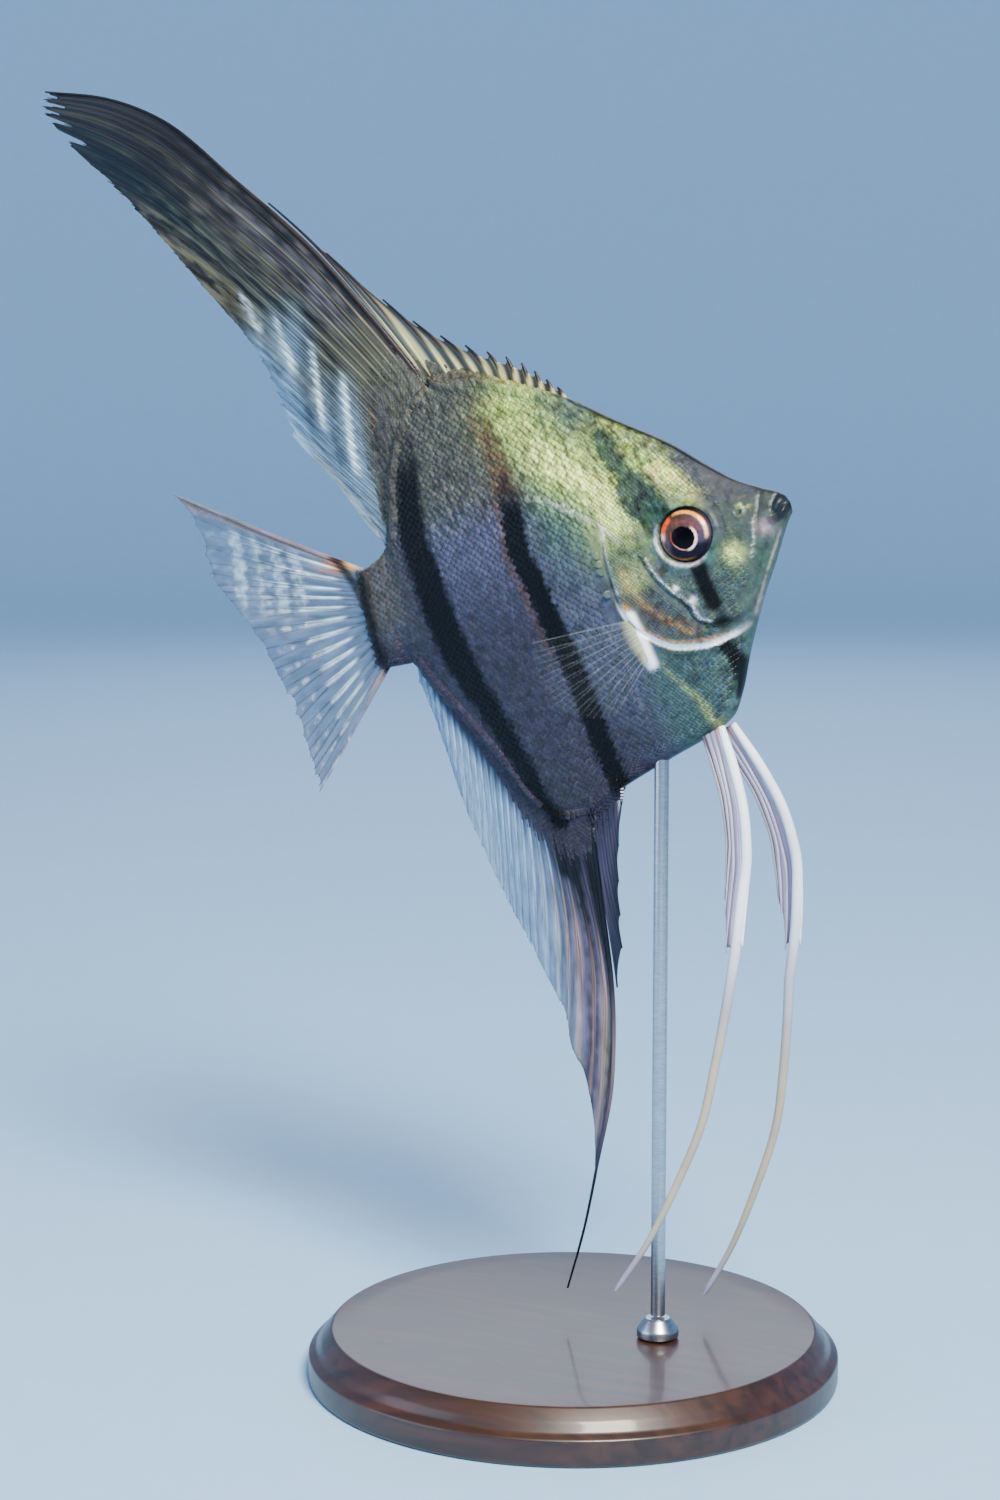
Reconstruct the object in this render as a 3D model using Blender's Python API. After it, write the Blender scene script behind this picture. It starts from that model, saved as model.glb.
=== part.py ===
"""Freshwater angelfish, life size, swimming nose up on a small display stand.

The fish is laid out in millimetres in its own frame: x runs forward to the mouth, y to its left and z up
its tall side. place() bends it a little sideways, tips its nose up and sets it over the stand, whose
underside is the world's z = 0.
"""

import math

import bmesh
import bpy
import numpy as np
from mathutils import Vector

# Driving sizes, in millimetres.
MM = 0.001
NOSE_UP = math.radians(16.5)
FISH_ABOVE_TABLE = 122.0
GAP = 0.3

BACK = [(37.2, 3.7), (36.4, 5.1), (33.3, 7.0), (29.8, 9.1), (25.6, 12.7), (21.2, 16.9), (12.8, 23.2),
        (5.8, 28.6), (-1.0, 32.4), (-9.8, 36.0), (-15.2, 36.2), (-19.8, 34.2), (-23.5, 29.7),
        (-26.2, 24.0), (-27.8, 18.1), (-29.8, 13.9), (-34.6, 12.0)]
BELLY = [(37.2, 2.4), (36.4, 1.6), (35.2, 0.0), (32.7, -3.8), (30.0, -7.6), (27.6, -11.4), (24.8, -16.2),
         (22.4, -20.9), (20.0, -24.2), (16.0, -26.0), (9.2, -27.8), (-0.7, -30.6), (-7.0, -33.2),
         (-11.0, -33.3), (-14.0, -31.4), (-19.7, -21.6), (-26.9, -9.2), (-30.1, -4.0), (-34.6, -3.7)]
MIDDLE = [(37.2, 3.1), (28.0, 1.0), (20.0, 0.6), (0.0, 2.0), (-20.0, 4.0), (-34.6, 4.2)]
HALF_WIDTH = [(37.2, 0.7), (36.4, 1.4), (34.0, 2.4), (30.0, 3.7), (26.0, 4.8), (21.0, 5.7), (15.0, 6.3),
              (8.0, 6.5), (0.0, 6.2), (-8.0, 5.4), (-16.0, 4.3), (-24.0, 3.1), (-30.0, 2.3), (-34.6, 1.7)]
RIDGE = [(37.2, 0.4), (30.0, 0.8), (18.0, 1.1), (-10.0, 1.0), (-30.0, 0.8), (-34.6, 0.7)]
BODY_SPANS = [(37.2, 33.0, 5), (33.0, -13.0, 18), (-13.0, -30.0, 11), (-30.0, -34.6, 3)]
SIDE_POINTS = 9

EYE_AT = (22.1, 3.1)
EYE_RADIUS, EYE_DEPTH, EYE_PROUD = 4.35, 2.3, 1.0

GILL_EDGE = [(9.6, 5.0), (9.7, -2.0), (10.9, -6.6), (13.3, -9.5), (17.0, -12.0), (21.2, -12.9)]
CHEEK_EDGE = [(22.6, -11.0), (19.6, -7.5), (17.4, -3.3), (16.0, 1.5), (15.4, 7.2), (10.6, 7.6)]
HEAD_EDGE = [(13.5, 45.0), (12.6, 24.0), (10.6, 14.0), *GILL_EDGE, (25.2, -12.6), (28.5, -11.6), (45.0, -8.0)]
GILL_PLATE_INNER = 3.5
JAW_OUTLINE = [(45.0, 3.3), (37.0, 3.1), (33.8, 1.9), (31.8, -1.6), (30.4, -4.6), (28.6, -7.6), (45.0, -10.0)]
TAIL_ROOT_X = -29.6

LEADING_RAY = [(-16.1, 36.6), (-22.4, 49.8), (-29.0, 62.2), (-38.8, 76.2), (-47.5, 88.0), (-56.5, 94.6),
               (-68.3, 99.8)]
SPINE_TIPS = [(5.6, 29.8), (0.4, 35.3), (-7.3, 39.9), (-13.6, 44.6), (-20.4, 52.2), (-28.4, 62.8)]
DORSAL_EDGE = [(0.00, -68.3, 99.8), (0.10, -69.6, 97.4), (0.20, -69.0, 94.0), (0.35, -61.0, 80.4),
               (0.47, -52.5, 66.1), (0.62, -43.6, 48.5), (0.82, -42.6, 36.9), (0.92, -36.7, 27.7),
               (1.00, -30.9, 17.0)]
ANAL_LEADING_RAY = [(-7.2, -33.9), (-9.0, -46.0), (-11.0, -59.5), (-15.3, -73.7), (-22.2, -86.3),
                    (-28.0, -96.0), (-34.0, -104.5)]
ANAL_SPINE_TIPS = [(-1.6, -33.0), (-4.2, -40.0), (-6.4, -48.5), (-8.7, -58.8)]
ANAL_EDGE = [(0.00, -34.0, -104.5), (0.06, -23.2, -87.2), (0.10, -20.8, -79.0), (0.15, -19.8, -71.5),
             (0.18, -20.6, -67.6), (0.22, -20.0, -63.0), (0.32, -21.9, -53.6), (0.50, -25.0, -43.6),
             (0.65, -26.4, -35.0), (0.80, -28.2, -25.0), (0.92, -29.4, -14.5), (1.00, -30.4, -7.2)]
TAIL_BASE = [(-34.9, 11.7), (-34.9, -3.4)]
TAIL_EDGE = [(0.00, -68.8, 32.8), (0.08, -66.0, 26.6), (0.20, -65.2, 18.5), (0.32, -61.8, 13.0),
             (0.50, -57.2, 3.5), (0.68, -55.6, -5.0), (0.86, -54.9, -14.0), (1.00, -54.5, -19.8)]

PELVIC_BASE = [(18.8, -25.9), (15.5, -26.8)]
PELVIC_FRONT = [(18.8, -25.9), (19.9, -32.5), (20.4, -37.0), (19.9, -44.0), (18.2, -50.0), (15.9, -57.2)]
PELVIC_EDGE = [(0.0, 15.9, -57.2), (0.50, 13.3, -57.2), (0.62, 13.9, -53.6), (1.0, 14.4, -50.0)]
FEELER = [(14.4, -57.7), (10.8, -66.3), (7.5, -73.5), (3.9, -80.4), (-3.4, -89.8), (-9.6, -96.6),
          (-16.7, -102.8)]
FEELER_SPLIT = 0.48
SPLAY = [(-110.0, 12.5), (-82.0, 11.0), (-58.0, 8.4), (-40.0, 5.0), (-25.0, 1.9)]
LEFT_FORWARD, LEFT_SWING, LEFT_LONGER = 1.9, 0.016, 1.10

PECTORAL_BASE = [(10.6, -6.8), (11.4, -13.2)]
PECTORAL_LENGTH = 17.5
PECTORAL_FAN = (math.radians(-2.0), math.radians(46.0))
PECTORAL_FLARE = 0.30

BASE_RADIUS, BASE_THICK = 41.0, 8.0
ROD_X, ROD_RADIUS, ROD_TOP = 14.5, 1.1, 100.6
COLLAR_RADIUS, COLLAR_TALL = 3.2, 3.0


# Curves.

def spline(knots, values, at):
    """Value at `at` of a smooth curve through values at rising knots; it never overshoots a value."""
    knots, values = np.asarray(knots, float), np.asarray(values, float)
    steps = np.diff(knots)
    slopes = np.diff(values) / steps
    tangents = np.empty_like(values)
    tangents[0], tangents[-1] = slopes[0], slopes[-1]
    for i in range(1, len(knots) - 1):
        before, after = slopes[i - 1], slopes[i]
        first, second = 2 * steps[i] + steps[i - 1], steps[i] + 2 * steps[i - 1]
        tangents[i] = 0.0 if before * after <= 0 else (first + second) / (first / before + second / after)
    i = int(np.clip(np.searchsorted(knots, at) - 1, 0, len(steps) - 1))
    t = float(np.clip((at - knots[i]) / steps[i], 0.0, 1.0))
    return ((1 + 2 * t) * (1 - t) ** 2 * values[i] + t * t * (3 - 2 * t) * values[i + 1]
            + t * (1 - t) ** 2 * steps[i] * tangents[i] - t * t * (1 - t) * steps[i] * tangents[i + 1])


def at_x(points, x):
    """Value at x of the curve through (x, value) points, listed in either direction."""
    rising = sorted(points)
    return spline([p[0] for p in rising], [p[1] for p in rising], x)


def along(points, t):
    """Point at the fraction t of the way along a smooth curve through the points."""
    reach = [0.0]
    for (x0, z0), (x1, z1) in zip(points, points[1:]):
        reach.append(reach[-1] + math.hypot(x1 - x0, z1 - z0))
    return tuple(spline(reach, [p[k] for p in points], t * reach[-1]) for k in range(2))


def edge(points, u):
    """Point of a fin's outer edge, given as (share of the base, x, z), at the share u."""
    shares = [p[0] for p in points]
    return tuple(spline(shares, [p[k] for p in points], u) for k in (1, 2))


def rim(outline, x0, x1, count, side):
    """Points evenly spaced along the body's back or belly from x0 to x1, GAP clear of it."""
    fine = [(x, at_x(outline, x)) for x in np.linspace(x0, x1, 200)]
    points = []
    for i in range(count):
        t = i / (count - 1)
        before, after = Vector(along(fine, max(0.0, t - 0.01))), Vector(along(fine, min(1.0, t + 0.01)))
        run = (after - before).normalized()
        points.append(tuple(Vector(along(fine, t)) + side * GAP * Vector((run.y, -run.x))))
    return points


# The fish's own frame to the world.

def sway(x, z):
    """How far the fish's middle plane bends to its left here: dorsal tip right, tail and anal tip left."""
    tail = max(0.0, (-20.0 - x) / 46.0)
    dorsal = max(0.0, (z - 34.0) / 64.0)
    anal = max(0.0, (-36.0 - z) / 66.0)
    return 4.0 * tail ** 2 - 7.0 * dorsal ** 2 + 3.0 * anal ** 2


def place(x, y, z, bent=True):
    """World position in metres of a point in the fish's frame."""
    y += sway(x, z) if bent else 0.0
    turned = (x * math.cos(NOSE_UP) - z * math.sin(NOSE_UP), y,
              x * math.sin(NOSE_UP) + z * math.cos(NOSE_UP) + FISH_ABOVE_TABLE)
    return Vector(turned) * MM


def splay(z):
    """How far a pelvic fin or feeler stands out from the middle plane at this height."""
    return at_x(SPLAY, z)


def flesh(x, v):
    """Half thickness of the body at x, where v runs from -1 at the belly ridge to 1 at the back."""
    wide, ridge = at_x(HALF_WIDTH, x), at_x(RIDGE, x)
    return ridge + (wide - ridge) * (1 - abs(v) ** 1.9) ** 0.85


def flesh_at(x, z):
    """Half thickness of the body at a point of its side."""
    middle = at_x(MIDDLE, x)
    reach = at_x(BACK, x) - middle if z > middle else middle - at_x(BELLY, x)
    return flesh(x, min(1.0, abs(z - middle) / reach))


# Making meshes.

def material(name, colour, roughness, metallic=0.0):
    """Principled material."""
    made = bpy.data.materials.new(name)
    made.use_nodes = True
    shader = made.node_tree.nodes["Principled BSDF"]
    shader.inputs["Base Color"].default_value = (*colour, 1.0)
    shader.inputs["Roughness"].default_value = roughness
    shader.inputs["Metallic"].default_value = metallic
    return made


def solid(name, points, faces, finish):
    """Object of a closed mesh, with its faces turned outwards."""
    mesh = bpy.data.meshes.new(name)
    mesh.from_pydata([tuple(p) for p in points], [], faces)
    work = bmesh.new()
    work.from_mesh(mesh)
    bmesh.ops.recalc_face_normals(work, faces=work.faces)
    if work.calc_volume(signed=True) < 0:
        bmesh.ops.reverse_faces(work, faces=work.faces)
    work.to_mesh(mesh)
    work.free()
    mesh.shade_smooth()
    mesh.set_sharp_from_angle(angle=math.radians(35))
    obj = bpy.data.objects.new(name, mesh)
    bpy.context.scene.collection.objects.link(obj)
    if finish:
        mesh.materials.append(finish)
    return obj


def skin_rings(rings):
    """Points and faces of a closed shape through rings of equal count, capped at both ends."""
    count = len(rings[0])
    points = [p for ring in rings for p in ring]
    faces = []
    for i in range(len(rings) - 1):
        for j in range(count):
            k = (j + 1) % count
            faces.append((i * count + j, i * count + k, (i + 1) * count + k, (i + 1) * count + j))
    faces.append(tuple(range(count)))
    faces.append(tuple(range((len(rings) - 1) * count, len(rings) * count)))
    return points, faces


def as_cutter(obj):
    """The object, kept out of the build and drawn as wire."""
    obj.hide_render = True
    obj.display_type = "WIRE"
    return obj


def prism(name, outline, y0, y1):
    """Cutter: a side-view outline carried from y0 to y1."""
    rings = [[place(x, y, z, bent=False) for x, z in outline] for y in (y0, y1)]
    return as_cutter(solid(name, *skin_rings(rings), None))


def boolean(obj, cutter, operation="DIFFERENCE"):
    """Boolean modifier, left on the object."""
    step = obj.modifiers.new(cutter.name, "BOOLEAN")
    step.operation = operation
    step.object = cutter


def grown(outline, by):
    """Closed outline moved outwards by this much, corner by corner."""
    area = sum(x0 * z1 - x1 * z0 for (x0, z0), (x1, z1) in zip(outline, outline[1:] + outline[:1]))
    turn = math.copysign(by, area)
    moved = []
    for i, (x, z) in enumerate(outline):
        (xa, za), (xb, zb) = outline[i - 1], outline[(i + 1) % len(outline)]
        first = Vector((z - za, xa - x)).normalized()
        second = Vector((zb - z, x - xb)).normalized()
        out = (first + second).normalized()
        moved.append(tuple(Vector((x, z)) + out * turn / max(0.4, out.dot(first))))
    return moved


# The body, parted with thin cuts.

def body(name, finish):
    """The whole body from lips to tail root."""
    stations = [BODY_SPANS[0][0]]
    for start, end, count in BODY_SPANS:
        stations += list(np.linspace(start, end, count + 1))[1:]
    rings = []
    for x in stations:
        top, bottom, middle = at_x(BACK, x), at_x(BELLY, x), at_x(MIDDLE, x)
        side = []
        for k in range(SIDE_POINTS):
            v = -math.cos(math.pi * (k + 0.5) / SIDE_POINTS)
            side.append((middle + v * (top - middle if v > 0 else middle - bottom), flesh(x, v)))
        right = [place(x, -y, z) for z, y in side]
        left = [place(x, y, z) for z, y in reversed(side)]
        rings.append([place(x, 0, bottom)] + right + [place(x, 0, top)] + left)
    return solid(name, *skin_rings(rings), finish)


def cut_body(finish):
    """Head, lower jaw, gill covers, trunk and tail root as separate nodes with GAP between them."""
    behind_head = [(-50.0, 45.0), (-50.0, -50.0), (45.0, -50.0)] + HEAD_EDGE[::-1]
    ahead = grown(HEAD_EDGE + [(45.0, 45.0)], GAP)
    gill = GILL_EDGE + CHEEK_EDGE

    head = body("head", finish)
    boolean(head, prism("cut_behind_head", behind_head, -30, 30))
    boolean(head, prism("cut_jaw", grown(JAW_OUTLINE, GAP), -30, 30))
    jaw = body("lower_jaw", finish)
    boolean(jaw, prism("keep_jaw", JAW_OUTLINE, -30, 30), "INTERSECT")
    boolean(jaw, prism("cut_throat", behind_head, -31, 31))
    for side, sign in (("right", -1), ("left", 1)):
        plate = body("gill_cover_" + side, finish)
        boolean(plate, prism("keep_gill_" + side, gill, sign * GILL_PLATE_INNER, sign * 30), "INTERSECT")
        recess = grown(gill, GAP)
        boolean(head, prism("cut_gill_" + side, recess, sign * (GILL_PLATE_INNER - GAP), sign * 31))
        boolean(head, as_cutter(eye("cut_socket_" + side, sign, GAP, None)))

    trunk = body("trunk", finish)
    bore = [(ROD_RADIUS + GAP, 60.0), (ROD_RADIUS + GAP, ROD_TOP + GAP)]
    boolean(trunk, as_cutter(turned("cut_rod_hole", ROD_X, bore, 20, None)))
    boolean(trunk, prism("cut_ahead_of_trunk", ahead, -32, 32))
    tail_end = [(-60, -60), (TAIL_ROOT_X, -60), (TAIL_ROOT_X, 60), (-60, 60)]
    boolean(trunk, prism("cut_tail_root", tail_end, -33, 33))
    peduncle = body("caudal_peduncle", finish)
    front = [(TAIL_ROOT_X - GAP, -60), (60, -60), (60, 60), (TAIL_ROOT_X - GAP, 60)]
    boolean(peduncle, prism("cut_ahead_of_tail", front, -34, 34))


def eye(name, sign, by, finish):
    """Eyeball: a flattened sphere that stands a little proud of the head."""
    x0, z0 = EYE_AT
    y0 = flesh_at(x0, z0) + EYE_PROUD - EYE_DEPTH
    around, down = 16, 8
    points = [place(x0, sign * (y0 - EYE_DEPTH - by), z0), place(x0, sign * (y0 + EYE_DEPTH + by), z0)]
    faces = []
    for i in range(1, down):
        lift, spread = -math.cos(math.pi * i / down), math.sin(math.pi * i / down)
        for j in range(around):
            a = math.tau * j / around
            points.append(place(x0 + (EYE_RADIUS + by) * spread * math.cos(a),
                                sign * (y0 + (EYE_DEPTH + by) * lift),
                                z0 + (EYE_RADIUS + by) * spread * math.sin(a)))
    for j in range(around):
        k = (j + 1) % around
        faces.append((0, 2 + j, 2 + k))
        faces.append((1, 2 + (down - 2) * around + k, 2 + (down - 2) * around + j))
        for i in range(down - 2):
            a, b = 2 + i * around, 2 + (i + 1) * around
            faces.append((a + j, b + j, b + k, a + k))
    return solid(name, points, faces, finish)


# Fins: slabs whose rays stand proud of the membrane.

def fin(name, columns, root, tip, finish, rib=0.1, offset=None):
    """Closed slab from columns of (x, z) points, root to tip.

    root and tip are its half thickness there, and every second column, a ray, is thicker by rib. offset
    gives the y of a fin that stands off the middle plane.
    """
    rows = len(columns[0])
    points = []
    for sign in (-1, 1):
        for i, column in enumerate(columns):
            for j, (x, z) in enumerate(column):
                half = root + (tip - root) * j / (rows - 1) + (0.0 if i % 2 else rib)
                y = offset(x, z) if offset else sway(x, z)
                points.append(place(x, y + sign * half, z, bent=False))
    sheet = len(columns) * rows
    faces = []
    for i in range(len(columns) - 1):
        for j in range(rows - 1):
            a, b = i * rows + j, (i + 1) * rows + j
            faces.append((a, b, b + 1, a + 1))
            faces.append((sheet + a, sheet + a + 1, sheet + b + 1, sheet + b))
    border = [i * rows for i in range(len(columns))]
    border += [(len(columns) - 1) * rows + j for j in range(1, rows)]
    border += [i * rows + rows - 1 for i in reversed(range(len(columns) - 1))]
    border += list(reversed(range(1, rows - 1)))
    for a, b in zip(border, border[1:] + border[:1]):
        faces.append((a, sheet + a, sheet + b, b))
    return solid(name, points, faces, finish)


def ray_columns(count, rows, base, tip, bow=None, notch=0.6):
    """Columns for `count` rays and the membranes between, whose ends fall short of the rays' by notch."""
    columns = []
    for i in range(2 * count - 1):
        u = i / (2 * count - 2)
        (xb, zb), (xt, zt) = base(u), tip(u)
        if i % 2:
            length = math.hypot(xt - xb, zt - zb)
            xt, zt = xt + (xb - xt) * notch / length, zt + (zb - zt) * notch / length
        column = []
        for j in range(rows):
            v = j / (rows - 1)
            dx, dz = bow(u, v) if bow else (0.0, 0.0)
            column.append((xb + (xt - xb) * v + dx, zb + (zt - zb) * v + dz))
        columns.append(column)
    return columns


def bow_of(leading, share):
    """How far each ray bends from straight: share(u) of what the leading ray does."""
    (x0, z0), (x1, z1) = leading[0], leading[-1]

    def bow(u, v):
        x, z = along(leading, v)
        return share(u) * (x - x0 - (x1 - x0) * v), share(u) * (z - z0 - (z1 - z0) * v)
    return bow


def dorsal_fin(finish):
    """Spiny front part, with a free tip to each spine, and the tall soft part swept back."""
    spines = 12
    roots = rim(BACK, 6.6, -15.4, 2 * spines - 1, 1)

    def spine_tip(u):
        return along(SPINE_TIPS, 0.5 * u + 0.5 * u ** 3)
    lean = [(x + 0.5, z) for x, z in LEADING_RAY[:3]]
    columns = ray_columns(spines, 4, lambda u: roots[round(u * (2 * spines - 2))], spine_tip, notch=0.0)
    for i in range(1, len(columns) - 1, 2):
        (xb, zb), (xt, zt) = columns[i][0], columns[i][-1]
        low = 0.62 + 0.26 * i / len(columns)
        columns[i] = [(xb + (xt - xb) * low * j / 3, zb + (zt - zb) * low * j / 3) for j in range(4)]
    columns[-1] = [along(lean, j / 3) for j in range(4)]
    fin("dorsal_fin_spiny", columns, 0.5, 0.28, finish)

    rays = 15
    roots = rim(BACK, -16.1, -29.2, 2 * rays - 1, 1)
    columns = ray_columns(rays, 7, lambda u: roots[round(u * (2 * rays - 2))],
                          lambda u: edge(DORSAL_EDGE, u), bow_of(LEADING_RAY, lambda u: (1 - u) ** 3))
    fin("dorsal_fin_soft", columns, 0.55, 0.26, finish)


def anal_fin(finish):
    """Spiny front lobe and the long soft part, whose first ray runs on as a filament."""
    spines = 6
    roots = rim(BELLY, -0.9, -6.6, 2 * spines - 1, -1)
    columns = ray_columns(spines, 6, lambda u: roots[round(u * (2 * spines - 2))],
                          lambda u: along(ANAL_SPINE_TIPS, u ** 0.9), notch=0.8)
    lean = [(x + 0.5, z) for x, z in ANAL_LEADING_RAY[:3]]
    columns[-1] = [along(lean, 0.98 * j / 5) for j in range(6)]
    fin("anal_fin_spiny", columns, 0.5, 0.28, finish)

    rays = 15
    roots = rim(BELLY, -7.2, -29.3, 2 * rays - 1, -1)
    columns = ray_columns(rays, 8, lambda u: roots[round(u * (2 * rays - 2))],
                          lambda u: edge(ANAL_EDGE, u), bow_of(ANAL_LEADING_RAY, lambda u: (1 - u) ** 6))
    columns[1] = [(x - 1.0 + 0.5 * j / 7, z) for j, (x, z) in enumerate(columns[0])]
    fin("anal_fin_soft", columns, 0.55, 0.26, finish)


def caudal_fin(finish):
    """Tail fan with a drawn-out upper tip."""
    columns = ray_columns(13, 6, lambda u: along(TAIL_BASE, u), lambda u: edge(TAIL_EDGE, u))
    fin("caudal_fin", columns, 0.6, 0.26, finish)


def pectoral_fin(side, sign, finish):
    """Small clear fan standing out from the flank behind the gill."""
    x_root = PECTORAL_BASE[0][0]

    def tip(u):
        x, z = along(PECTORAL_BASE, u)
        turn = PECTORAL_FAN[0] + (PECTORAL_FAN[1] - PECTORAL_FAN[0]) * u
        reach = PECTORAL_LENGTH * (0.80 + 0.50 * u - 0.78 * u * u)
        return x - reach * math.cos(turn), z - reach * math.sin(turn)

    def out(x, z):
        skin = max(flesh_at(x, z), flesh_at(x_root, z)) + GAP + 0.6
        return sign * (skin + PECTORAL_FLARE * max(0.0, x_root - x))
    columns = ray_columns(8, 5, lambda u: along(PECTORAL_BASE, u), tip, notch=0.3)
    fin("pectoral_fin_" + side, columns, 0.45, 0.25, finish, 0.08, out)


def pelvic_fin(side, sign, finish):
    """Blade of a pelvic fin, and the long feeler that its first ray becomes, in two lengths."""
    forward, swing, longer = (LEFT_FORWARD, LEFT_SWING, LEFT_LONGER) if sign > 0 else (0.0, 0.0, 1.0)

    def moved(point):
        x, z = point
        down = max(0.0, -25.0 - z)
        return x + forward * math.sin(math.pi * min(1.0, down / 36.0)) + swing * down, z + (1 - longer) * down
    front = [moved(p) for p in PELVIC_FRONT]
    root = [moved((x, z - 0.3)) for x, z in PELVIC_BASE]
    columns = ray_columns(5, 8, lambda u: along(root, u), lambda u: moved(edge(PELVIC_EDGE, u)),
                          bow_of(front, lambda u: 1 - 0.6 * u), notch=0.3)
    fin("pelvic_fin_" + side, columns, 0.5, 0.4, finish, 0.12, lambda x, z: sign * splay(z))

    path = [moved(p) for p in FEELER]
    split = FEELER_SPLIT
    for name, start, end in (("upper", 0.0, split), ("lower", split + 0.006, 1.0)):
        rings = []
        for i in range(9):
            t = start + (end - start) * i / 8
            x, z = along(path, t)
            xa, za = along(path, min(1.0, t + 0.01))
            xb, zb = along(path, max(0.0, t - 0.01))
            run = Vector((xa - xb, za - zb)).normalized()
            radius = 1.0 - 0.62 * t
            ring = []
            for j in range(8):
                a = math.tau * j / 8
                across = radius * math.cos(a)
                ring.append(place(x + across * run.y, sign * splay(z) + 0.7 * radius * math.sin(a),
                                  z - across * run.x, bent=False))
            rings.append(ring)
        solid(f"pelvic_feeler_{side}_{name}", *skin_rings(rings), finish)


# The stand.

def turned(name, x, profile, sides, finish):
    """Solid turned about an upright axis at x, from its (radius, height) profile."""
    rings = []
    for radius, z in profile:
        turns = [math.tau * j / sides for j in range(sides)]
        rings.append([Vector((x + radius * math.cos(a), radius * math.sin(a), z)) * MM for a in turns])
    return solid(name, *skin_rings(rings), finish)


def stand(wood, steel):
    """Round base with a moulded edge, and a rod in a collar up to the keel."""
    r, top = BASE_RADIUS, BASE_THICK
    edge_profile = [(r - 0.5, 0.0), (r, 0.5), (r, 4.2), (r - 1.2, 4.9), (r - 2.0, 6.2), (r - 3.6, top)]
    turned("stand_base", 0.0, edge_profile, 48, wood)
    low, r = BASE_THICK + GAP, COLLAR_RADIUS
    turned("stand_collar", ROD_X, [(r, low), (r, low + 1.2), (0.6 * r, low + COLLAR_TALL)], 20, steel)
    turned("stand_rod", ROD_X, [(ROD_RADIUS, low + COLLAR_TALL + GAP), (ROD_RADIUS, ROD_TOP)], 20, steel)


def main():
    for old in list(bpy.data.objects):
        bpy.data.objects.remove(old, do_unlink=True)
    scales = material("silver_green_skin", (0.33, 0.42, 0.36), 0.35)
    soft_ray = material("fin_membrane", (0.42, 0.48, 0.55), 0.4)
    white_ray = material("white_fin_ray", (0.78, 0.80, 0.84), 0.4)
    eye_glass = material("eye", (0.55, 0.20, 0.06), 0.08)
    wood = material("dark_walnut", (0.09, 0.045, 0.025), 0.4)
    steel = material("brushed_steel", (0.55, 0.56, 0.58), 0.3, 1.0)
    cut_body(scales)
    dorsal_fin(soft_ray)
    anal_fin(soft_ray)
    caudal_fin(soft_ray)
    for side, sign in (("right", -1), ("left", 1)):
        eye("eye_" + side, sign, 0.0, eye_glass)
        pectoral_fin(side, sign, soft_ray)
        pelvic_fin(side, sign, white_ray)
    stand(wood, steel)


main()
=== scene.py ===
"""Looks of the freshwater angelfish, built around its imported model.

The fish is laid out in millimetres in its own frame: x runs forward to the mouth, y to its left and z up its
tall side. Fish.place() bends that frame a little sideways, tips its nose up and sets it over the stand, in
metres. Marks on the flank and in the fins are masks, worked out from lines drawn on the fish's side and kept
as attributes of each mesh, so that the skin and the scales over it carry the same ones.
"""

import logging
import math
from dataclasses import dataclass, field
from enum import Enum
from typing import Callable, Sequence

import bmesh
import bpy
import numpy as np
from mathutils import Matrix, Vector


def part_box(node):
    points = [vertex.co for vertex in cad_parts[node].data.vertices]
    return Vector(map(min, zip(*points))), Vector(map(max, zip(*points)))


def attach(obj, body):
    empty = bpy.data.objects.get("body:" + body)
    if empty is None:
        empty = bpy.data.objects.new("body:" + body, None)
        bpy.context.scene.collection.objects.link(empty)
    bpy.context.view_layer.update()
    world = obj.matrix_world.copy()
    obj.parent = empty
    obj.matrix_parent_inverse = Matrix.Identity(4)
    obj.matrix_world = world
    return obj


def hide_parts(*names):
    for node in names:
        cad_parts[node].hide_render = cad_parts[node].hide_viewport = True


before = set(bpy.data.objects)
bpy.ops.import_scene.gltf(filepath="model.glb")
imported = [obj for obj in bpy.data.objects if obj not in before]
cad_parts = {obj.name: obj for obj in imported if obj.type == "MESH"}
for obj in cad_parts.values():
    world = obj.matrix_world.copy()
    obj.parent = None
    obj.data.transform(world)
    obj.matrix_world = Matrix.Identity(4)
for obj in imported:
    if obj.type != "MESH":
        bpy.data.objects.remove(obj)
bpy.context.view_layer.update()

Array = np.ndarray
Pairs = Sequence[tuple[float, float]]
Masks = dict[str, Array]
Field = Callable[[Array, Array], Array]
Socket = bpy.types.NodeSocket

MM = 0.001
SEED = 7
LOG = logging.getLogger("angelfish")


class Side(Enum):
    """A side of the fish, as the sign of y there."""

    RIGHT = -1
    LEFT = 1

    @property
    def label(self) -> str:
        """Name used in nodes and pieces."""
        return self.name.lower()


# Numbers and curves.

def smooth(low: float, high: float, value: Array) -> Array:
    """Soft step from 0 at low to 1 at high, which may be the smaller of the two."""
    t = np.clip((value - low) / (high - low), 0.0, 1.0)
    return t * t * (3.0 - 2.0 * t)


def bump(value: Array, centre: float, width: float) -> Array:
    """Soft hump of height 1 at centre, e-folding over width."""
    return np.exp(-((value - centre) / width) ** 2)


def flat(value: Array, centre: float, width: float) -> Array:
    """Hump of height 1 at centre, with a flatter top and steeper sides."""
    return np.exp(-((value - centre) / width) ** 4)


def dot(x: Array, z: Array, at_x: float, at_z: float, radius: float) -> Array:
    """Soft round spot of height 1 at a point of the side."""
    return np.exp(-(np.hypot(x - at_x, z - at_z) / radius) ** 2)


def beats(across: Array, count: float, phase: Array | float = 0.0) -> Array:
    """Ripple from 0 to 1 with count humps for each unit across, so that each ray of a fin has one."""
    return 0.5 + 0.5 * np.cos(math.tau * across * count + phase)


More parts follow.
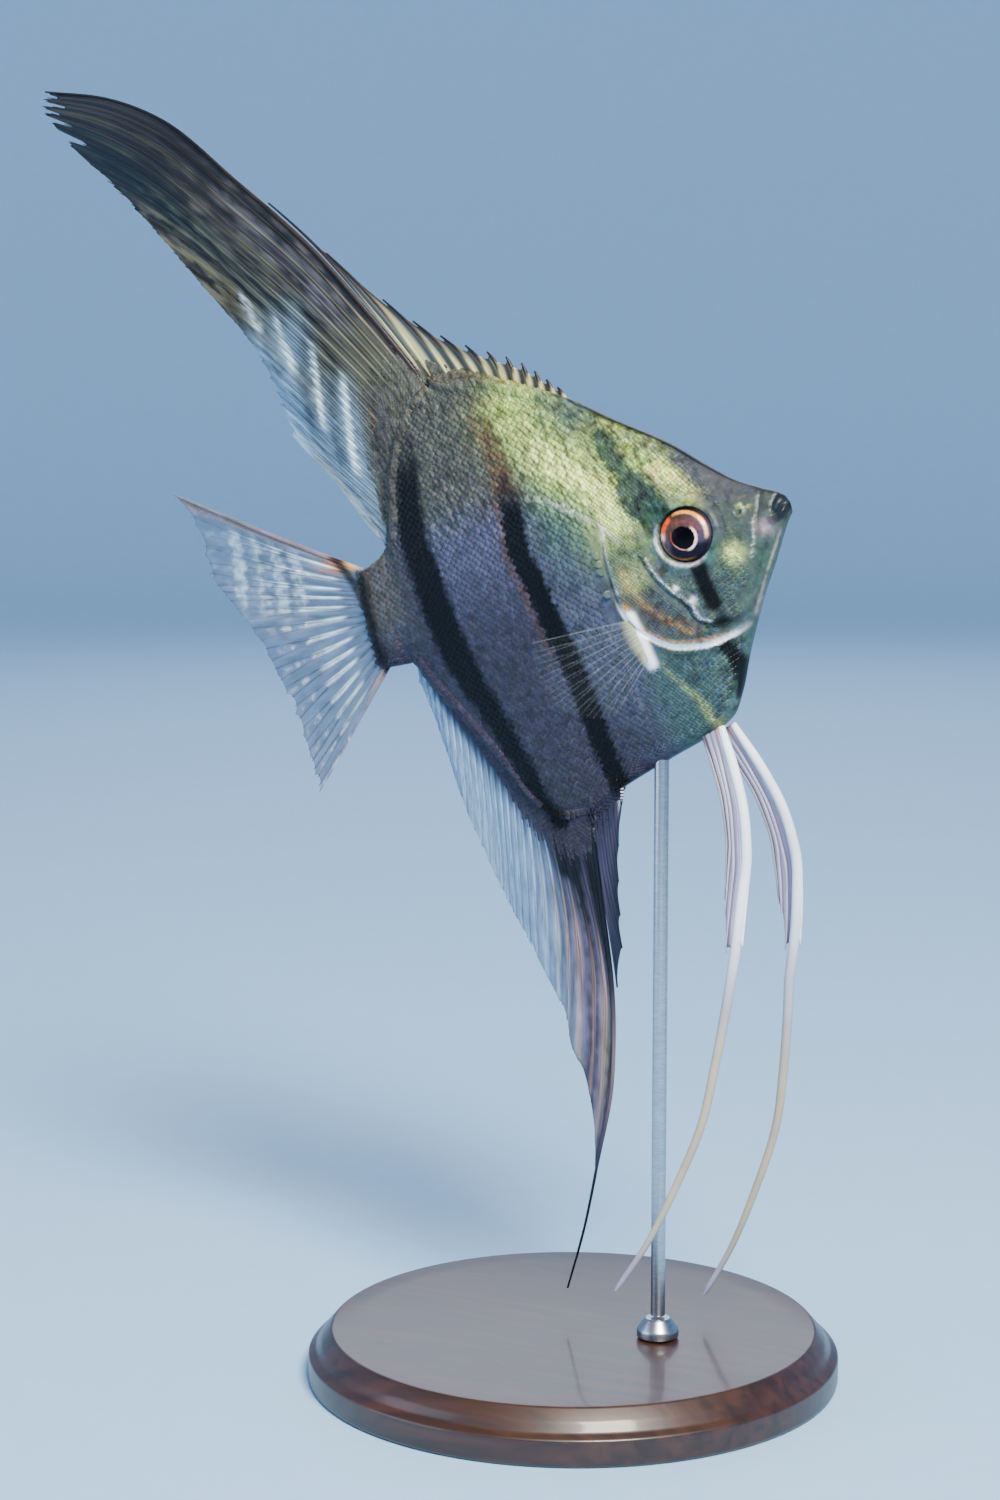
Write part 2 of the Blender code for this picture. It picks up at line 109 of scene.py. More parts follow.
def wobble(x: Array, z: Array, size: float, phase: float = 0.0) -> Array:
    """Uneven ripple between about -1 and 1 over the flank, whose humps are about size across.

    Args:
        x: The points' x in the fish's frame, in millimetres.
        z: Their z.
        size: How wide a hump is, in millimetres.
        phase: Shifts the ripple.

    Returns:
        The ripple's height at each point.
    """
    a, b = x * math.pi / size, z * math.pi / size
    first = np.sin(a + 0.7 * b + phase) * np.cos(0.6 * a - b + 2.1 * phase)
    second = np.sin(1.9 * a - 1.3 * b + 3.0 * phase) * np.cos(1.4 * a + 2.2 * b - phase)
    return 0.65 * first + 0.45 * second


def spline(knots: Sequence[float], values: Sequence[float], at: Array) -> Array:
    """Smooth curve through values at rising knots, which never overshoots a value.

    Args:
        knots: Rising places of the values.
        values: The value at each knot.
        at: Where to read the curve; beyond the ends it holds the end value.

    Returns:
        The curve's value at each place.
    """
    knot, value = np.asarray(knots, float), np.asarray(values, float)
    step = np.diff(knot)
    slope = np.diff(value) / step
    tangent = np.empty_like(value)
    tangent[0], tangent[-1] = slope[0], slope[-1]
    first, second = 2 * step[1:] + step[:-1], step[1:] + 2 * step[:-1]
    same_way = slope[:-1] * slope[1:] > 0
    safe = np.where(same_way, slope[:-1], 1.0), np.where(same_way, slope[1:], 1.0)
    tangent[1:-1] = np.where(same_way, (first + second) / (first / safe[0] + second / safe[1]), 0.0)
    at = np.clip(np.asarray(at, float), knot[0], knot[-1])
    i = np.clip(np.searchsorted(knot, at) - 1, 0, len(step) - 1)
    t = (at - knot[i]) / step[i]
    return ((1 + 2 * t) * (1 - t) ** 2 * value[i] + t * t * (3 - 2 * t) * value[i + 1]
            + t * (1 - t) ** 2 * step[i] * tangent[i] - t * t * (1 - t) * step[i] * tangent[i + 1])


def along_x(points: Pairs, x: Array) -> Array:
    """Value at x of the curve through (x, value) points, listed in either direction."""
    rising = sorted(points)
    return spline([p[0] for p in rising], [p[1] for p in rising], x)


@dataclass(frozen=True)
class Path:
    """Smooth line through given (x, z) points on the fish's side."""

    points: Pairs

    def at(self, t: Array) -> tuple[Array, Array]:
        """The point at each fraction t of the way along.

        Args:
            t: Fractions from 0 to 1.

        Returns:
            x and z of the points.
        """
        xz = np.asarray(self.points, float)
        reach = np.concatenate([[0.0], np.cumsum(np.hypot(*np.diff(xz, axis=0).T))])
        return spline(reach, xz[:, 0], t * reach[-1]), spline(reach, xz[:, 1], t * reach[-1])

    def near(self, x: Array, z: Array, count: int = 48, margin: float = 9.0) -> tuple[Array, Array, Array]:
        """How points lie to the line.

        Args:
            x: The points' x.
            z: The points' z.
            count: How many short pieces stand for the line.
            margin: Points further than this from the line's box are only marked as far.

        Returns:
            Each point's distance from the line, the fraction of the way along, and the signed distance,
            positive on the left hand of the way along.
        """
        px, pz = self.at(np.linspace(0, 1, count + 1))
        inside = ((x > px.min() - margin) & (x < px.max() + margin)
                  & (z > pz.min() - margin) & (z < pz.max() + margin))
        far, t_all, s_all = np.full(x.shape, 99.0), np.zeros(x.shape), np.full(x.shape, 99.0)
        if not inside.any():
            return far, t_all, s_all
        ax, az = px[:-1], pz[:-1]
        dx, dz = np.diff(px), np.diff(pz)
        rx, rz = x[inside][:, None] - ax, z[inside][:, None] - az
        t = np.clip((rx * dx + rz * dz) / (dx * dx + dz * dz), 0, 1)
        gap = np.hypot(rx - t * dx, rz - t * dz)
        best = gap.argmin(1)
        row = np.arange(len(best))
        side = dx[best] * rz[row, best] - dz[best] * rx[row, best]
        far[inside] = gap[row, best]
        t_all[inside] = (best + t[row, best]) / count
        s_all[inside] = np.copysign(gap[row, best], side)
        return far, t_all, s_all


@dataclass(frozen=True)
class Fish:
    """The body's shape and the pose that it is held in."""

    nose_up: float = math.radians(16.5)
    height: float = 122.0
    back: Pairs = ((37.2, 3.7), (36.4, 5.1), (33.3, 7.0), (29.8, 9.1), (25.6, 12.7), (21.2, 16.9),
                   (12.8, 23.2), (5.8, 28.6), (-1.0, 32.4), (-9.8, 36.0), (-15.2, 36.2), (-19.8, 34.2),
                   (-23.5, 29.7), (-26.2, 24.0), (-27.8, 18.1), (-29.8, 13.9), (-34.6, 12.0), (-36.2, 11.8))
    belly: Pairs = ((37.2, 2.4), (36.4, 1.6), (35.2, 0.0), (32.7, -3.8), (30.0, -7.6), (27.6, -11.4),
                    (24.8, -16.2), (22.4, -20.9), (20.0, -24.2), (16.0, -26.0), (9.2, -27.8), (-0.7, -30.6),
                    (-7.0, -33.2), (-11.0, -33.3), (-14.0, -31.4), (-19.7, -21.6), (-26.9, -9.2),
                    (-30.1, -4.0), (-34.6, -3.7), (-36.2, -3.8))
    middle: Pairs = ((37.2, 3.1), (28.0, 1.0), (20.0, 0.6), (0.0, 2.0), (-20.0, 4.0), (-34.6, 4.2))
    half_width: Pairs = ((37.2, 0.7), (36.4, 1.4), (34.0, 2.4), (30.0, 3.7), (26.0, 4.8), (21.0, 5.7),
                         (15.0, 6.3), (8.0, 6.5), (0.0, 6.2), (-8.0, 5.4), (-16.0, 4.3), (-24.0, 3.1),
                         (-30.0, 2.3), (-34.6, 1.7), (-36.2, 0.9))
    ridge: Pairs = ((37.2, 0.4), (30.0, 0.8), (18.0, 1.1), (-10.0, 1.0), (-30.0, 0.8), (-34.6, 0.7))
    coat_depth: float = 0.15
    tail_end: float = -36.0
    nose_end: float = 37.2
    nose_round: float = 0.7

    def sway(self, x: Array, z: Array) -> Array:
        """How far the middle plane bends to the fish's left: dorsal tip right, tail and anal tip left.

        Args:
            x: The points' x in the fish's frame, in millimetres.
            z: Their z.

        Returns:
            The middle plane's y at each point.
        """
        tail = np.maximum(0.0, (-20.0 - x) / 46.0)
        dorsal = np.maximum(0.0, (z - 34.0) / 64.0)
        anal = np.maximum(0.0, (-36.0 - z) / 66.0)
        return 4.0 * tail ** 2 - 7.0 * dorsal ** 2 + 3.0 * anal ** 2

    def place(self, x: Array, y: Array, z: Array, bent: bool = True) -> Array:
        """Places in metres in the model's frame of points in the fish's frame.

        Args:
            x: The points' x in the fish's frame, in millimetres.
            y: Their distance to the left of the middle plane.
            z: Their z.
            bent: Whether the bend is still to be added to y.

        Returns:
            The places, with x, y and z in the last axis.
        """
        x, y, z = np.broadcast_arrays(np.asarray(x, float), y, z)
        if bent:
            y = y + self.sway(x, z)
        cos, sin = math.cos(self.nose_up), math.sin(self.nose_up)
        return np.stack([x * cos - z * sin, y, x * sin + z * cos + self.height], -1) * MM

    def side_place(self, places: Array) -> tuple[Array, Array]:
        """x and z in the fish's frame, in millimetres, of places in the model's frame.

        Args:
            places: Rows of x, y and z in metres.

        Returns:
            Their x and z, in millimetres.
        """
        cos, sin = math.cos(self.nose_up), math.sin(self.nose_up)
        x, z = places[:, 0] / MM, places[:, 2] / MM - self.height
        return x * cos + z * sin, z * cos - x * sin

    def turn(self, directions: Array) -> Array:
        """Directions in the model's frame of directions in the fish's frame."""
        cos, sin = math.cos(self.nose_up), math.sin(self.nose_up)
        return directions @ np.array([[cos, 0, sin], [0, 1, 0], [-sin, 0, cos]])

    def height_at(self, x: Array, v: Array) -> Array:
        """z of the point at x and the share v of the way from the middle to the back (1) or belly (-1)."""
        middle = along_x(self.middle, x)
        return middle + v * np.where(v > 0, along_x(self.back, x) - middle, middle - along_x(self.belly, x))

    def share(self, x: Array, z: Array) -> Array:
        """The share v whose height at x is z.

        Args:
            x: The points' x in the fish's frame, in millimetres.
            z: Their z.

        Returns:
            v of each point, from -1 at the belly to 1 at the back.
        """
        middle = along_x(self.middle, x)
        reach = np.where(z > middle, along_x(self.back, x) - middle, middle - along_x(self.belly, x))
        return (z - middle) / np.maximum(reach, 0.05)

    def half(self, x: Array, v: Array) -> Array:
        """Half thickness of the bare skin, which lies the coat's depth inside the flesh.

        Args:
            x: The points' x in the fish's frame, in millimetres.
            v: Their share of the way to the back or belly.

        Returns:
            Half the body's thickness at each point.
        """
        wide, ridge = along_x(self.half_width, x), along_x(self.ridge, x)
        v = np.clip(np.abs(v), 0.0, 1.0)
        keel = ridge * np.sqrt(1.0 - v ** 40)
        swell = (wide - ridge) * (1.0 - v ** 1.9) ** 0.85
        nose = np.clip((x - self.nose_end + self.nose_round) / self.nose_round, 0.0, 1.0)
        return np.maximum(0.01, keel + swell - self.coat_depth * (1 - v ** 12)) * np.sqrt(1.001 - nose ** 2)

    def flank(self, x: Array, z: Array) -> Array:
        """Half thickness of the bare skin at a point of the side."""
        return self.half(x, self.share(x, z))


FISH = Fish()
FLESH = ("head", "lower_jaw", "gill_cover_right", "gill_cover_left", "trunk", "caudal_peduncle")


# Nodes, meshes and finishes.

def linear(colour: str) -> tuple[float, float, float, float]:
    """Linear RGBA of an sRGB hex colour.

    Args:
        colour: The colour, as # and six hex digits.

    Returns:
        Red, green, blue and alpha.
    """
    parts = [int(colour[i:i + 2], 16) / 255 for i in (1, 3, 5)]
    red, green, blue = (p / 12.92 if p <= 0.04045 else ((p + 0.055) / 1.055) ** 2.4 for p in parts)
    return red, green, blue, 1.0


def add(tree: bpy.types.NodeTree, kind: str, inputs: dict | None = None,
        **settings: object) -> bpy.types.Node:
    """Adds a node to a shader or geometry tree.

    Args:
        tree: The tree.
        kind: The node's type.
        inputs: For a socket's name or number, a value to set or an output to link.
        settings: The node's own properties.

    Returns:
        The node.
    """
    node = tree.nodes.new(kind)
    for name, value in settings.items():
        setattr(node, name, value)
    for key, value in (inputs or {}).items():
        if isinstance(value, Socket):
            tree.links.new(value, node.inputs[key])
        else:
            node.inputs[key].default_value = value
    return node


def store(mesh: bpy.types.Mesh, values: Masks) -> None:
    """Keeps one number, or one vector, for each of the mesh's points under each name.

    Args:
        mesh: The mesh.
        values: A row for each point, by the attribute's name.
    """
    for name, data in values.items():
        vector = data.ndim == 2
        made = mesh.attributes.new(name, "FLOAT_VECTOR" if vector else "FLOAT", "POINT")
        made.data.foreach_set("vector" if vector else "value",
                              np.ascontiguousarray(data, np.float32).ravel())


def grid_faces(rows: int, columns: int, ring: bool = False) -> Array:
    """Quads of a grid whose points are numbered along its rows; a ring joins each row's end to its start.

    Args:
        rows: How many rows of points there are.
        columns: How many points a row has.
        ring: Whether the rows are closed rings.

    Returns:
        Four point numbers for each quad.
    """
    i, j = np.meshgrid(np.arange(rows - 1), np.arange(columns if ring else columns - 1), indexing="ij")
    k = (j + 1) % columns
    quads = np.stack([i * columns + j, i * columns + k, (i + 1) * columns + k, (i + 1) * columns + j], -1)
    return quads.reshape(-1, 4)


def tube_faces(rows: int, sides: int) -> list[list[int]]:
    """Faces of a tube of rings, closed by fans round the two points that follow those of the rings.

    Args:
        rows: How many rings there are.
        sides: How many points a ring has.

    Returns:
        The point numbers of each face.
    """
    count, last = rows * sides, (rows - 1) * sides
    faces = grid_faces(rows, sides, ring=True).tolist()
    faces += [[count, k, (k + 1) % sides] for k in range(sides)]
    faces += [[count + 1, last + (k + 1) % sides, last + k] for k in range(sides)]
    return faces


def take(mesh: bpy.types.Mesh, name: str) -> Array:
    """The values of a point attribute, which the mesh then no longer has.

    Args:
        mesh: The mesh.
        name: The attribute's name.

    Returns:
        A number, or a row of three, for each point.
    """
    found = mesh.attributes[name]
    vector = found.data_type == "FLOAT_VECTOR"
    data = np.empty(len(mesh.vertices) * (3 if vector else 1), np.float32)
    found.data.foreach_get("vector" if vector else "value", data)
    mesh.attributes.remove(found)
    return data.reshape(-1, 3) if vector else data


def into_scene(name: str, data: bpy.types.ID) -> bpy.types.Object:
    """Object of a mesh, light or camera, in the scene and at the origin.

    Args:
        name: The object's name.
        data: The mesh, light or camera.

    Returns:
        The object.
    """
    made = bpy.data.objects.new(name, data)
    bpy.context.scene.collection.objects.link(made)
    return made


def mesh_piece(name: str, points: Array, faces: list, masks: Masks | None = None) -> bpy.types.Object:
    """Object of a closed mesh with its faces turned outwards, shaded smooth, holding the masks.

    Args:
        name: The piece's name.
        points: Places of the points, in metres.
        faces: The point numbers of each face.
        masks: Values for each point to keep with the mesh.

    Returns:
        The piece.
    """
    mesh = bpy.data.meshes.new(name)
    mesh.from_pydata(points.reshape(-1, 3).tolist(), [], faces)
    work = bmesh.new()
    work.from_mesh(mesh)
    bmesh.ops.recalc_face_normals(work, faces=work.faces)
    if work.calc_volume(signed=True) < 0:
        bmesh.ops.reverse_faces(work, faces=work.faces)
    work.to_mesh(mesh)
    work.free()
    mesh.shade_smooth()
    store(mesh, masks or {})
    return into_scene(name, mesh)


def keep_result(piece: bpy.types.Object) -> None:
    """Swaps a piece's mesh for what its Geometry Nodes make of it, and removes them.

    Args:
        piece: The piece, with its modifiers.
    """
    graph = bpy.context.evaluated_depsgraph_get()
    made = bpy.data.meshes.new_from_object(piece.evaluated_get(graph), preserve_all_data_layers=True,
                                           depsgraph=graph)
    piece.modifiers.clear()
    piece.data = made
    made.name = piece.name


def run_nodes(piece: bpy.types.Object, tree: bpy.types.GeometryNodeTree, values: dict[str, object]) -> None:
    """Runs a geometry tree on a piece with these values for its named inputs, and keeps the result.

    Args:
        piece: The piece.
        tree: The geometry tree.
        values: The value of each input, by its name.
    """
    modifier = piece.modifiers.new(tree.name, "NODES")
    modifier.node_group = tree
    for item in tree.interface.items_tree:
        if item.item_type == "SOCKET" and item.in_out == "INPUT" and item.name in values:
            modifier[item.identifier] = values[item.name]
    keep_result(piece)


def report(piece: bpy.types.Object) -> bpy.types.Object:
    """Logs a finished piece's name and size, and returns it.

    Args:
        piece: The finished piece.

    Returns:
        The piece.
    """
    piece.data.calc_loop_triangles()
    LOG.info("%s: %d triangles", piece.name, len(piece.data.loop_triangles))
    return piece


def new_material(name: str, values: dict[str, float]) \
        -> tuple[bpy.types.Material, bpy.types.NodeTree, bpy.types.Node]:
    """Starts a material, with these constants on its shader's sockets.

    Args:
        name: The material's name.
        values: The value of each socket, by its name.

    Returns:
        The material, its node tree and its shader.
    """
    made = bpy.data.materials.new(name)
    made.use_nodes = True
    shader = made.node_tree.nodes["Principled BSDF"]
    for socket, value in values.items():
        shader.inputs[socket].default_value = value
    return made, made.node_tree, shader


def new_tree(name: str, sockets: dict[str, str]) -> bpy.types.GeometryNodeTree:
    """Starts a geometry tree that takes and gives geometry.

    Args:
        name: The tree's name.
        sockets: The kind of each further named input.

    Returns:
        The tree, with no nodes yet.
    """
    tree = bpy.data.node_groups.new(name, "GeometryNodeTree")
    for socket, kind in {"Geometry": "Geometry", **sockets}.items():
        tree.interface.new_socket(socket, in_out="INPUT", socket_type="NodeSocket" + kind)
    tree.interface.new_socket("Geometry", in_out="OUTPUT", socket_type="NodeSocketGeometry")
    return tree


@dataclass(frozen=True)
class Wash:
    """A colour laid over what is under it wherever the mask of that name says."""

    mask: str
    colour: str


def layered(tree: bpy.types.NodeTree, base: str, washes: Sequence[Wash]) -> Socket:
    """Colour output of a base colour with washes over it, in order.

    Args:
        tree: The material's node tree.
        base: The ground colour.
        washes: The washes, from the lowest to the top one.

    Returns:
        The output that holds the colour.
    """
    colour = add(tree, "ShaderNodeRGB").outputs[0]
    colour.default_value = linear(base)
    for wash in washes:
        mask = add(tree, "ShaderNodeAttribute", attribute_name=wash.mask).outputs["Fac"]
        colour = add(tree, "ShaderNodeMix", {0: mask, 6: colour, 7: linear(wash.colour)},
                     data_type="RGBA").outputs[2]
    return colour


# Washes of the flank, lowest first. The yellow-white one is a painted highlight on the shoulder, the white
# one is partly painted glints, and the deep violet and dark grey ones are partly painted shade low on the
# body and behind.
FLANK_WASHES = (
    Wash("cool", "#48455A"), Wash("deep", "#2E2839"), Wash("olive", "#47443A"), Wash("shade", "#29272C"),
    Wash("gold", "#A3B452"), Wash("glow", "#F3F88E"), Wash("grey", "#3A3E42"), Wash("moss", "#3F4C42"),
    Wash("teal", "#16302C"), Wash("brown", "#53301A"), Wash("bar", "#040406"), Wash("lip", "#171B24"),
    Wash("amber", "#C98A3C"), Wash("lemon", "#E9F58A"), Wash("rose", "#D9B4BE"), Wash("pearl", "#FFFFFF"),
)
FLANK_GROUND = "#37544C"


@dataclass(frozen=True)
class WetSkin:
    """Living fish skin under clear slime.

    Silvery guanine under a thin pigment gives a soft, half metallic sheen, and the slime a sharp wet gloss.
    """

    # Guanine crystals grown in layers under pigment cells: soft drifting hues and dark mottles, with small
    # painted wet highlights in white.
    name: str = "wet_silvery_skin"
    drifts: tuple[tuple[float, str, float], ...] = (
        (0.8, "#CDE08A", 0.45), (1.5, "#8FA4E8", 0.45), (0.5, "#FFFFFF", 0.55), (1.7, "#242A30", 0.75),
        (2.6, "#C98AB0", 0.35))
    streak_mm: float = 0.55
    streak_turn: float = -53.5
    grain_mm: float = 0.35
    grain_depth_mm: float = 0.06
    rim_share: float = 0.30
    scales: bool = False

    def hues(self, tree: bpy.types.NodeTree, place: Socket, amount: Socket, colour: Socket) -> Socket:
        """Lays the guanine's hues over a colour: green, blue, violet and gold, drifting from place to place,
        with painted white highlights and dark mottles among them.

        Args:
            tree: The material's node tree.
            place: The output that holds the place on the piece.
            amount: The output that holds how mottled it is there.
            colour: The output that holds the colour under them.

        Returns:
            The output that holds the colour.
        """
        for size, hue, share in self.drifts:
            drift = add(tree, "ShaderNodeTexNoise", {"Vector": place, "W": size, "Scale": 1 / (size * MM),
                                                     "Detail": 2.0}, noise_dimensions="4D")
            share = add(tree, "ShaderNodeMapRange", {"Value": drift.outputs["Fac"], "From Min": 0.48,
                                                     "From Max": 0.66, "To Max": share}).outputs["Result"]
            share = add(tree, "ShaderNodeMath", {0: share, 1: amount}, operation="MULTIPLY").outputs[0]
            colour = add(tree, "ShaderNodeMix", {0: share, 6: colour, 7: linear(hue)}, data_type="RGBA",
                         blend_type="OVERLAY").outputs[2]
        return colour

    def streaks(self, tree: bpy.types.NodeTree, place: Socket, amount: Socket, colour: Socket) -> Socket:
        """Runs short bright and dark streaks down and forward over the back.

        Args:
            tree: The material's node tree.
            place: The output that holds the place on the piece.
            amount: The output that holds how streaky it is there.
            colour: The output that holds the colour under them.

        Returns:
            The output that holds the colour.
        """
        run = add(tree, "ShaderNodeMapping",
                  {"Vector": place, "Rotation": (0.0, math.radians(self.streak_turn), 0.0)})
        flow = add(tree, "ShaderNodeMapping",
                   {"Vector": run.outputs[0], "Scale": (0.22, 1.0, 1.0)}).outputs[0]
        streak = add(tree, "ShaderNodeTexNoise",
                     {"Vector": flow, "Scale": 1 / (self.streak_mm * MM), "Detail": 3.0})
        swing = add(tree, "ShaderNodeMapRange",
                    {"Value": streak.outputs["Fac"], "From Min": 0.32, "From Max": 0.68,
                     "To Min": -0.65, "To Max": 0.85}).outputs["Result"]
        light = add(tree, "ShaderNodeMath", {0: swing, 1: amount, 2: 1.0},
                    operation="MULTIPLY_ADD").outputs[0]
        return add(tree, "ShaderNodeVectorMath", {0: colour, 1: light}, operation="MULTIPLY").outputs[0]

    def rims(self, tree: bpy.types.NodeTree, colour: Socket) -> Socket:
        """Pales the free edge of each scale and gives the scale a tone of its own.

        Args:
            tree: The material's node tree.
            colour: The output that holds the colour under them.

        Returns:
            The output that holds the colour.
        """
        edge, tone, bar = (add(tree, "ShaderNodeAttribute", attribute_name=mask).outputs["Fac"]
                           for mask in ("edge", "tone", "bar"))
        rim = add(tree, "ShaderNodeMix", {0: bar, 6: linear("#6E6C64"), 7: linear("#19181F")},
                  data_type="RGBA").outputs[2]
        share = add(tree, "ShaderNodeMath", {0: edge, 1: self.rim_share}, operation="MULTIPLY").outputs[0]
        colour = add(tree, "ShaderNodeMix", {0: share, 6: colour, 7: rim}, data_type="RGBA").outputs[2]
        light = add(tree, "ShaderNodeMapRange",
                    {"Value": tone, "To Min": 0.80, "To Max": 1.20}).outputs["Result"]
        return add(tree, "ShaderNodeVectorMath", {0: colour, 1: light}, operation="MULTIPLY").outputs[0]

    def material(self) -> bpy.types.Material:
        """Builds the material.

        Returns:
            The material.
        """
        made, tree, shader = new_material(self.name, {
            "Metallic": 0.18, "Roughness": 0.40, "Specular IOR Level": 0.12, "Coat Weight": 0.08,
            "Coat Roughness": 0.14, "Coat IOR": 1.35})
        place = add(tree, "ShaderNodeTexCoord").outputs["Object"]
        mottled, streaky = (add(tree, "ShaderNodeAttribute", attribute_name=mask).outputs["Fac"]
                            for mask in ("mottled", "streaky"))
        # Over the washes, a dark wash of painted shade in the head's folds, under the gill cover's edge,
        # round the eye and in the nostril.
        colour = layered(tree, FLANK_GROUND, (*FLANK_WASHES, Wash("fold", "#1E2A2C")))
        colour = self.streaks(tree, place, streaky, self.hues(tree, place, mottled, colour))
        height = add(tree, "ShaderNodeTexNoise", {"Vector": place, "Scale": 1 / (self.grain_mm * MM),
                                                  "Detail": 3.0}).outputs["Fac"]
        if self.scales:
            colour = self.rims(tree, colour)
        tree.links.new(colour, shader.inputs["Base Color"])
        dent = add(tree, "ShaderNodeBump", {"Height": height, "Strength": 0.25,
                                            "Distance": self.grain_depth_mm * MM})
        tree.links.new(dent.outputs["Normal"], shader.inputs["Normal"])
        return made


@dataclass(frozen=True)
class FinTissue:
    """Fin membrane or ray: thin living tissue, see-through where it holds no pigment, and wet."""

    # Two layers of skin over soft rays: fine streaks along the rays, a dull gloss, and the far side showing.
    name: str
    base: str
    washes: tuple[Wash, ...]
    thick_alpha: float = 0.96
    clear_alpha: float = 0.35
    streak: float = 0.35
    streak_mm: float = 0.8
    streak_depth_mm: float = 0.12

    def material(self) -> bpy.types.Material:
        """Builds the material.

        Returns:
            The material.
        """
        made, tree, shader = new_material(self.name, {
            "Roughness": 0.38, "Specular IOR Level": 0.20, "Coat Weight": 0.12, "Coat Roughness": 0.15})
        colour = layered(tree, self.base, self.washes)
        across, along, clear = (add(tree, "ShaderNodeAttribute", attribute_name=mask).outputs["Fac"]
                                for mask in ("across", "along", "clear"))
        flow = add(tree, "ShaderNodeCombineXYZ", {"X": across, "Y": along}).outputs[0]
        # Streaks of pigment run along the rays, much longer than wide.
        streaks = add(tree, "ShaderNodeMapping", {"Vector": flow, "Scale": (1 / self.streak_mm, 0.09, 1.0)})
        noise = add(tree, "ShaderNodeTexNoise", {"Vector": streaks.outputs[0], "Scale": 1.0, "Detail": 3.0},
                    noise_dimensions="2D").outputs["Fac"]
        light = add(tree, "ShaderNodeMapRange", {"Value": noise, "From Min": 0.3, "From Max": 0.7,
                                                 "To Min": 1 - self.streak, "To Max": 1 + self.streak})
        colour = add(tree, "ShaderNodeVectorMath", {0: colour, 1: light.outputs["Result"]},
                     operation="MULTIPLY").outputs[0]
        tree.links.new(colour, shader.inputs["Base Color"])
        alpha = add(tree, "ShaderNodeMapRange", {"Value": clear, "To Min": self.thick_alpha,
                                                 "To Max": self.clear_alpha}).outputs["Result"]
        tree.links.new(alpha, shader.inputs["Alpha"])
        dent = add(tree, "ShaderNodeBump", {"Height": noise, "Strength": 0.35,
                                            "Distance": self.streak_depth_mm * MM})
        tree.links.new(dent.outputs["Normal"], shader.inputs["Normal"])
        return made


@dataclass(frozen=True)
class Finish:
    """Plain solid finish, with a fine grain for its bump and colour."""

    name: str
    colour: str
    grain_colour: str
    roughness: float
    metallic: float = 0.0
    coat: float = 0.0
    stretch: tuple[float, float, float] = (1.0, 1.0, 1.0)
    grain_mm: float = 1.0
    bump_mm: float = 0.03

    def material(self) -> bpy.types.Material:
        """Builds the material.

        Returns:
            The material.
        """
        made, tree, shader = new_material(self.name, {
            "Roughness": self.roughness, "Metallic": self.metallic, "Coat Weight": self.coat,
            "Coat Roughness": 0.10})
        place = add(tree, "ShaderNodeTexCoord").outputs["Object"]
        run = add(tree, "ShaderNodeMapping", {"Vector": place, "Scale": self.stretch}).outputs[0]
        grain = add(tree, "ShaderNodeTexNoise",
                    {"Vector": run, "Scale": 1 / (self.grain_mm * MM), "Detail": 5.0,
                     "Distortion": 0.6}).outputs["Fac"]
        share = add(tree, "ShaderNodeMapRange",
                    {"Value": grain, "From Min": 0.35, "From Max": 0.65}).outputs[0]
        colour = add(tree, "ShaderNodeMix", {0: share, 6: linear(self.colour), 7: linear(self.grain_colour)},
                     data_type="RGBA").outputs[2]
        tree.links.new(colour, shader.inputs["Base Color"])
        dent = add(tree, "ShaderNodeBump", {"Height": grain, "Strength": 0.4, "Distance": self.bump_mm * MM})
        tree.links.new(dent.outputs["Normal"], shader.inputs["Normal"])
        return made


# Markings of the flank, which the skin and its scales share.

